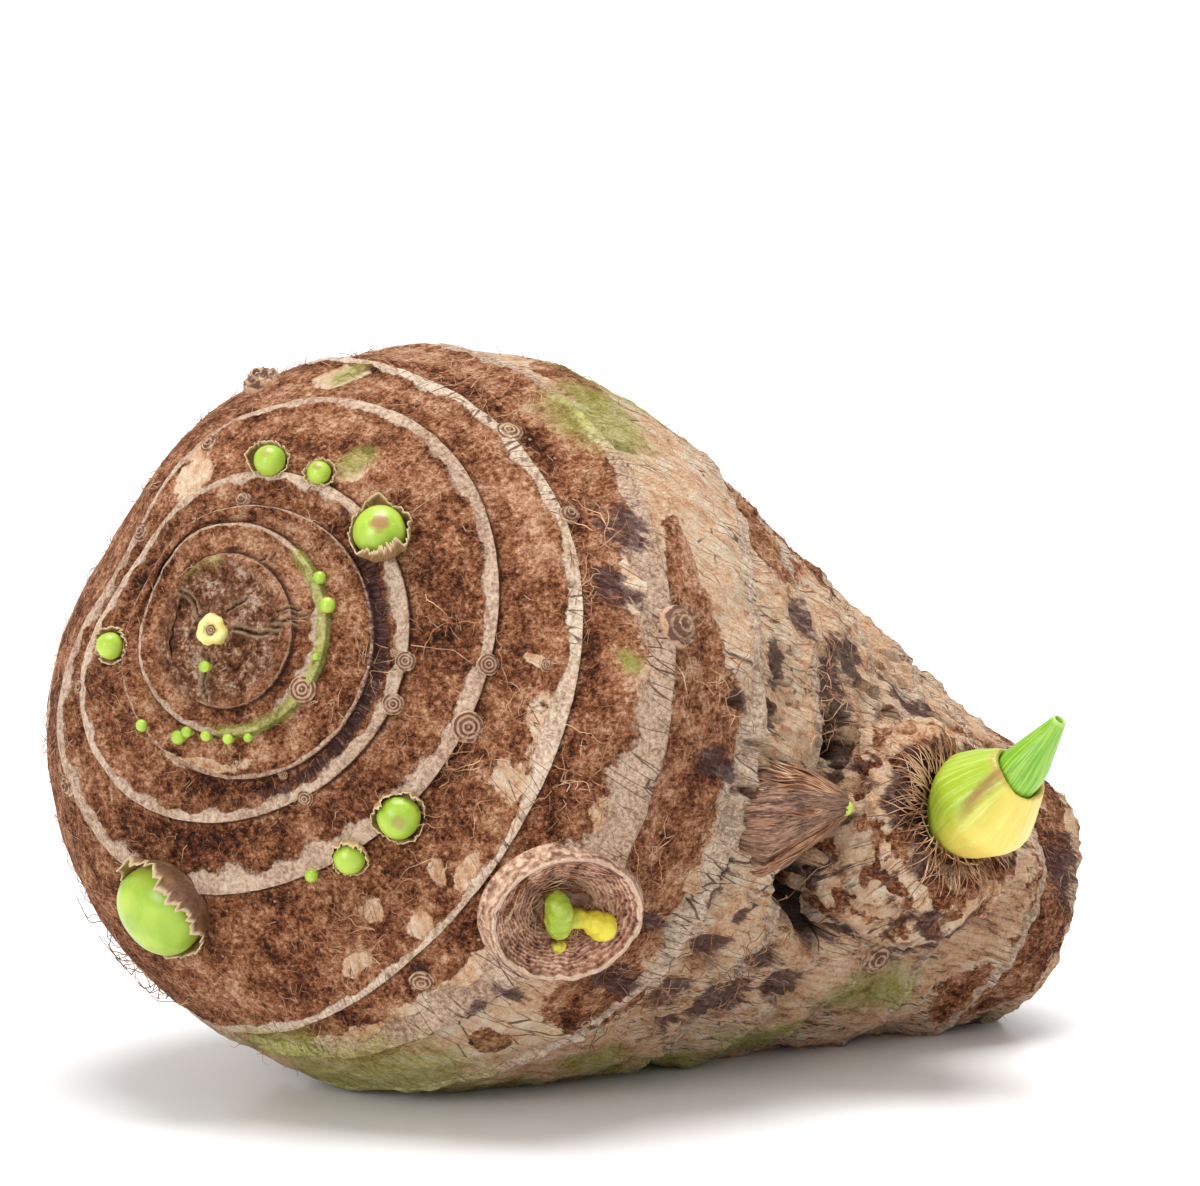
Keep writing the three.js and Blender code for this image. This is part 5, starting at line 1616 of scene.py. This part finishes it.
paths = []
for turn, lift_mm, sway in zip(
    strand_chance.uniform(0, 2 * np.pi, STRANDS), strand_chance.uniform(0.1, 0.7, STRANDS),
    strand_chance.normal(0, 0.25, STRANDS),
):
    part = np.linspace(strand_chance.uniform(-0.18, 0.4), 1.08, 14)
    up_cone = np.clip(part, 0, 1)
    reach = CONE_BASE + (CONE_TIP * 0.6 - CONE_BASE) * up_cone**CONE_TAPER + lift_mm * np.sin(math.pi * up_cone)
    turned_by = turn + sway * part + 0.06 * np.sin(part * 9 + turn * 5)
    paths.append(placed(cone_foot, cone_frame, reach, turned_by, CONE_LENGTH * part))
tubes("cone_strands", paths, strand_chance.uniform(0.06, 0.14, STRANDS), root_finish)

# The yellow-green point of the bud inside, showing at the side of the cone's tip.
tip_place = cone_foot + cone_direction * (CONE_LENGTH - 1.2) * MM - cone_frame[1] * 0.7 * MM
tip_axes = (cone_frame[0], cone_frame[1], unit(cone_direction + cone_axes[2] * 0.5))
green_cap("cone_bud_point", bud_pairs(1.1, 1.9, 0.9), 24, tip_place, tip_axes, 3, 6, 0.3, 0.0)

# The side cormel: a stubby young corm that grew out of the neck, corky and lumpy, with a collar
# of dark fibres round the foot of its shoot. It is one growth with the corm.
CORMEL_SPOT = (130, 8)
CORMEL_DIRECTION = unit(np.array((0.1, -0.94, 0.31)))
CORMEL_PAIRS = (
    (0, -12), (12.4, -12), (13.6, -6), (14.2, -2), (14.1, 1.5), (13.6, 4.5), (13, 6.8), (12.2, 8.8),
    (11.1, 10.2),
    (9.9, 10.8), (8.6, 10.6), (7.4, 10.4), (6.2, 9.9), (5.2, 8.8), (0, 8),
)
cormel_point, _ = axes_on_skin(*CORMEL_SPOT)
cormel_frame = level_frame(CORMEL_DIRECTION)
CORMEL_EVEN_RADIUS, CORMEL_EVEN_LENGTH = 13, 30


def corky(turns, radii, heights, parts):
    spot = np.stack([radii * np.cos(turns), radii * np.sin(turns), heights], -1) * MM
    broad, rough, fine = grain(spot, 8, 2, 1), grain(spot, 2.8, 3, 6), grain(spot, 1.1, 2, 2)
    on_collar = smooth(11.2, 10, radii) * (heights > 5)
    wall = smooth(4.8, 8, radii) * (1 - on_collar)
    comb = np.stack([np.cos(turns) * 9, np.sin(turns) * 9, 0 * turns], -1) * MM
    heights = heights + on_collar * (0.5 * rough + 0.45 * grain(comb, 0.7, 2, 4)) + wall * 0.5 * rough
    radii = radii + wall * (1.3 * broad + 0.9 * rough + 0.35 * fine)
    return turns, np.maximum(radii, 0), heights


rings, turns, radii, heights, parts = turned_rings(
    CORMEL_PAIRS, 250, cormel_point, cormel_frame, 5, corky,
)
cormel = face_outwards(closed_turned("cormel_skin", rings))
on_collar = smooth(11.6, 10.4, radii) * (heights > 5)
patchy = grain(rings, 4.0, 3, 12)
collar_dark = np.clip(
    on_collar * (0.62 + 0.5 * patchy - 0.3 * smooth(0, -1, np.sin(turns)))
    + (1 - on_collar) * (0.25 + 0.6 * patchy),
    0, 1,
)
tubes(
    "collar_fibres", [placed(cormel_point, cormel_frame, *path) for path in collar_paths],
    strand_chance.uniform(0.05, 0.1, COLLAR_FIBRES), root_finish,
)

add_numbers(cormel, "past_scar", inner(4 + 0 * radii, 4, 4))
add_numbers(cormel, "to_edge", inner(4 + 0 * radii, 4, 4))
add_numbers(cormel, "tone", inner(0.6 + 0 * radii, 0.6, 0.6))
add_numbers(
    cormel, "cork", inner(np.clip(0.62 + 0.7 * grain(rings, 3.0, 3, 20) - 0.35 * on_collar, 0, 1), 1, 0),
)
add_numbers(cormel, "dark", inner(collar_dark, 0, 1))
add_numbers(cormel, "green", inner(0 * radii, 0, 0))
add_numbers(cormel, "distance", inner(130 + 0 * radii, 130, 130))
add_vectors(
    cormel, "way", way_along(CORMEL_EVEN_RADIUS, turns, CORMEL_EVEN_LENGTH * parts, CORMEL_EVEN_LENGTH),
)
cormel.data.materials.append(skin_finish)
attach(cormel, "root")

# The shoot: a thick leaf sheath, lime green turning pale yellow to its sunny side, rolled round the
# first leaf. The leaf is a green spear with a blunt, slightly open tip.
SHEATH_FOOT = np.array((1.6, -8.6, 1.2))
SHEATH_DIRECTION = unit(np.array((0.21, -0.76, 0.62)))
SHEATH_STATIONS = ((-3, 2.8), (0, 4), (3, 5.8), (6.5, 7.2), (9.5, 6.3), (12, 5), (13.6, 4.1))
LEAF_DIRECTION = unit(np.array((0.19, -0.6, 0.77)))
LEAF_STATIONS = ((-4.5, 2), (-1, 3), (1.5, 3), (4.5, 2.3), (7.5, 1.5), (9.5, 0.95))
sheath_start = cormel_point + SHEATH_FOOT * MM
sheath_frame = level_frame(SHEATH_DIRECTION)
TO_VIEWER_RIGHT = np.array((0.825, -0.565, 0.0))
sheath_pairs = [(0, SHEATH_STATIONS[0][0])] + [(radius, along) for along, radius in SHEATH_STATIONS]
sheath_pairs += [(3.6, 13.9), (3.3, 13.2), (3.2, 11.5), (0, 10.5)]


def rolled_sheath(turns, radii, heights, parts):
    ribs = 0.012 * np.sin(9 * turns + 0.15 * heights) + 0.008 * np.sin(23 * turns)
    roll = (np.degrees(turns) - 3.0 * heights + 35) % 360 / 360
    lap = 0.5 * smooth(0.0, 0.02, roll) * smooth(0.3, 0.0, roll) * smooth(5, 12, heights)
    outside = smooth(3.3, 3.7, radii)
    waves = 0.35 * np.sin(2 * turns + 0.7) * smooth(11, 13.6, heights)
    return turns, radii * (1 + ribs) + lap * outside, heights + waves


rings, turns, radii, heights, parts = turned_rings(
    sheath_pairs, 120, sheath_start, sheath_frame, 6, rolled_sheath,
)
sheath = face_outwards(closed_turned("sheath_skin", rings))
sunny = unit(TO_VIEWER_RIGHT * 0.8 + np.array((0, 0, -0.6)))
across_sheath = (rings - sheath_start - SHEATH_DIRECTION * (heights * MM)[..., None]) / MM
add_numbers(sheath, "sunny", inner(across_sheath @ sunny, 0, 0))
add_numbers(sheath, "up_sheath", inner(heights, -3, 13))
roll = (np.degrees(turns) - 3.0 * heights + 35) % 360
add_numbers(sheath, "off_lap", inner(np.minimum(roll, 360 - roll) * np.maximum(radii, 1) / 57, 9, 9))
add_vectors(sheath, "strand_way", way_along(7, turns, heights, 13))
sheath_finish, tree, shader = new_material("leaf sheath", (0.6, 0.75, 0.2))
place = object_place(tree)
veins = noise_of(
    tree,
    result(
        tree, "ShaderNodeMapping", {"Vector": read(tree, "strand_way", "Vector"), "Scale": (1, 1, 0.08)},
    ),
    1.6, 3.0, 0.55,
)
tint = noise_of(tree, place, 200.0, 3.0, 0.5)
fine = noise_of(tree, place, 1100.0, 4.0, 0.6)
sun_share = ramp(tree, calculate(tree, "MULTIPLY_ADD", tint, 6.0, read(tree, "sunny")), -1.0, 5.5)
colour = blend_colour(tree, sun_share, (0.31, 0.42, 0.022), (0.74, 0.56, 0.11))
colour = blend_colour(tree, ramp(tree, veins, 0.45, 0.7, 0, 0.35), colour, (0.72, 0.80, 0.25))
stain = calculate(
    tree, "MULTIPLY",
    ramp(tree, calculate(tree, "MULTIPLY_ADD", fine, 1.6, read(tree, "off_lap")), 2.1, 0.9),
    ramp(tree, read(tree, "up_sheath"), 6.0, 10.0),
)
colour = blend_colour(tree, calculate(tree, "MULTIPLY", stain, 0.8), colour, (0.30, 0.14, 0.03))
rim_brown = ramp(
    tree, calculate(tree, "MULTIPLY_ADD", fine, 0.8, read(tree, "up_sheath")), 13.9, 14.3, 0, 0.6,
)
colour = blend_colour(tree, rim_brown, colour, (0.42, 0.26, 0.07))
set_inputs(tree, shader, {
    "Base Color": colour, "Roughness": 0.38, "Subsurface Weight": SOFT_TISSUE,
    "Subsurface Radius": (0.5, 0.6, 0.1), "Subsurface Scale": LIGHT_SINKS_IN,
    "Normal": bump(
        tree, calculate(tree, "ADD", veins, calculate(tree, "MULTIPLY", fine, 0.3)), 0.25, 0.0004,
    ),
})
sheath.data.materials.append(sheath_finish)
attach(sheath, "root")
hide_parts("shoot_sheath")

leaf_start = sheath_start + SHEATH_DIRECTION * SHEATH_STATIONS[-1][0] * MM
leaf_frame = level_frame(LEAF_DIRECTION)
leaf_pairs = [(0, LEAF_STATIONS[0][0])] + [(radius, along) for along, radius in LEAF_STATIONS]
leaf_pairs += [(0.78, 9.85), (0.62, 9.75), (0.5, 9.2), (0, 8.6)]


def rolled_leaf(turns, radii, heights, parts):
    roll = (np.degrees(turns) - 5.0 * heights + 250) % 360 / 360
    lap = 0.09 * smooth(0.0, 0.03, roll) * smooth(0.6, 0.0, roll) * smooth(-1, 3, heights)
    ribs = 0.012 * np.sin(11 * turns)
    return turns, radii * (1 + lap + ribs), heights


rings, turns, radii, heights, parts = turned_rings(leaf_pairs, 96, leaf_start, leaf_frame, 6, rolled_leaf)
leaf = face_outwards(closed_turned("leaf_skin", rings))
roll = (np.degrees(turns) - 5.0 * heights + 250) % 360
add_numbers(leaf, "off_lap", inner(np.minimum(roll, 360 - roll) * np.maximum(radii, 0.5) / 57, 9, 9))
add_numbers(leaf, "up_leaf", inner(heights, -4.5, 9))
add_vectors(leaf, "strand_way", way_along(3, turns, heights, 9))
leaf_finish, tree, shader = new_material("rolled leaf", (0.3, 0.55, 0.08))
place = object_place(tree)
veins = noise_of(
    tree,
    result(
        tree, "ShaderNodeMapping", {"Vector": read(tree, "strand_way", "Vector"), "Scale": (1, 1, 0.06)},
    ),
    3.4, 3.0, 0.55,
)
fine = noise_of(tree, place, 1000.0, 3.0, 0.6)
colour = blend_colour(tree, ramp(tree, veins, 0.35, 0.65), (0.13, 0.33, 0.02), (0.30, 0.52, 0.05))
colour = blend_colour(
    tree, ramp(tree, read(tree, "off_lap"), 0.4, 0.1, 0, 0.8), colour, (0.50, 0.66, 0.16),
)
colour = blend_colour(
    tree, ramp(tree, read(tree, "up_leaf"), 9.2, 9.8, 0, 0.7), colour, (0.45, 0.62, 0.18),
)
set_inputs(
    tree, shader, {"Base Color": colour, "Roughness": 0.36, "Normal": bump(tree, veins, 0.25, 0.0003)},
)
leaf.data.materials.append(leaf_finish)
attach(leaf, "root")
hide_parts("shoot_leaf")

# The torn brown skin left round the foot of the sheath: one dry papery sheet, like the scales of
# the buds, that wraps the sheath where it comes out of the collar.
FOOT_WRAP = ((3.6, -0.9), (4.4, 0.6), (5.2, 2), (6, 3.4), (6.8, 5))
papery_sheet("sheath_foot_sheet", FOOT_WRAP, sheath_start, sheath_frame, (
    (0, 2.4, 0.5, 0.1), (70, 3.6, 0.9, 0), (130, 4, 0.5, 0.1), (180, 3.6, 0.3, 0.2), (250, 2.6, 0.8, 0),
    (310, 2, 0.4, 0.2),
), 9)

# The studio: a plain pale floor, wide enough to fill the view, under a large soft light from
# above, with a weak fill from the left and a pale surround.
FLOOR_HALF = 14.0
FLOOR_TONE = (0.9, 0.9, 0.9)
SURROUND_STRENGTH = 0.7
FILL_PLACE, FILL_TARGET, FILL_SIZE, FILL_POWER = (-0.9, -0.35, 0.35), (-0.03, 0, 0.05), 0.5, 5
SOFTBOX_STRENGTH, SOFTBOX_SPREAD, SOFTBOX_SHINES = 3.6, 36, (-0.05, -0.02, -1)
floor_corners = [
    (side * FLOOR_HALF, end * FLOOR_HALF, 0)
    for side, end in ((-1, -1), (1, -1), (1, 1), (-1, 1))
]
floor_mesh = bpy.data.meshes.new("floor")
floor_mesh.from_pydata(floor_corners, [], [(0, 1, 2, 3)])
floor = new_object("floor", floor_mesh)
floor_finish, tree, shader = new_material("floor", FLOOR_TONE)
set_inputs(tree, shader, {"Base Color": (*FLOOR_TONE, 1), "Roughness": 0.25, "Specular IOR Level": 0.3})
floor.data.materials.append(floor_finish)

world = bpy.data.worlds.new("studio")
bpy.context.scene.world = world
world.use_nodes = True
world.node_tree.nodes["Background"].inputs["Color"].default_value = (1, 1, 1, 1)
world.node_tree.nodes["Background"].inputs["Strength"].default_value = SURROUND_STRENGTH


# Puts a light or a camera at a place, looking along a direction.
def aimed(name, data, place, direction):
    made = new_object(name, data)
    made.location = place
    made.rotation_mode = "QUATERNION"
    made.rotation_quaternion = direction.to_track_quat("-Z", "Y")
    return made


fill = bpy.data.lights.new("left fill", "AREA")
fill.shape = "DISK"
fill.size = FILL_SIZE
fill.energy = FILL_POWER
aimed("left fill", fill, FILL_PLACE, Vector(FILL_TARGET) - Vector(FILL_PLACE))
overhead = bpy.data.lights.new("overhead softbox", "SUN")
overhead.energy = SOFTBOX_STRENGTH
overhead.angle = math.radians(SOFTBOX_SPREAD)
aimed("overhead softbox", overhead, (0, 0, 0), Vector(SOFTBOX_SHINES))

# The camera: at the photograph's angle, a little above the floor, with a long lens that fills
# the frame as the photograph does.
CAMERA_PLACE = (-0.4196, -0.6107, 0.1532)
CAMERA_LOOKS = (0.56076, 0.81896, -0.12187)
LENS_LENGTH, SENSOR_WIDTH, NEAREST_SEEN = 172.28, 36, 0.01
lens = bpy.data.cameras.new("camera")
lens.lens = LENS_LENGTH
lens.sensor_width = SENSOR_WIDTH
lens.clip_start = NEAREST_SEEN
bpy.context.scene.camera = aimed("camera", lens, CAMERA_PLACE, Vector(CAMERA_LOOKS))
bpy.context.scene.view_settings.view_transform = "Standard"
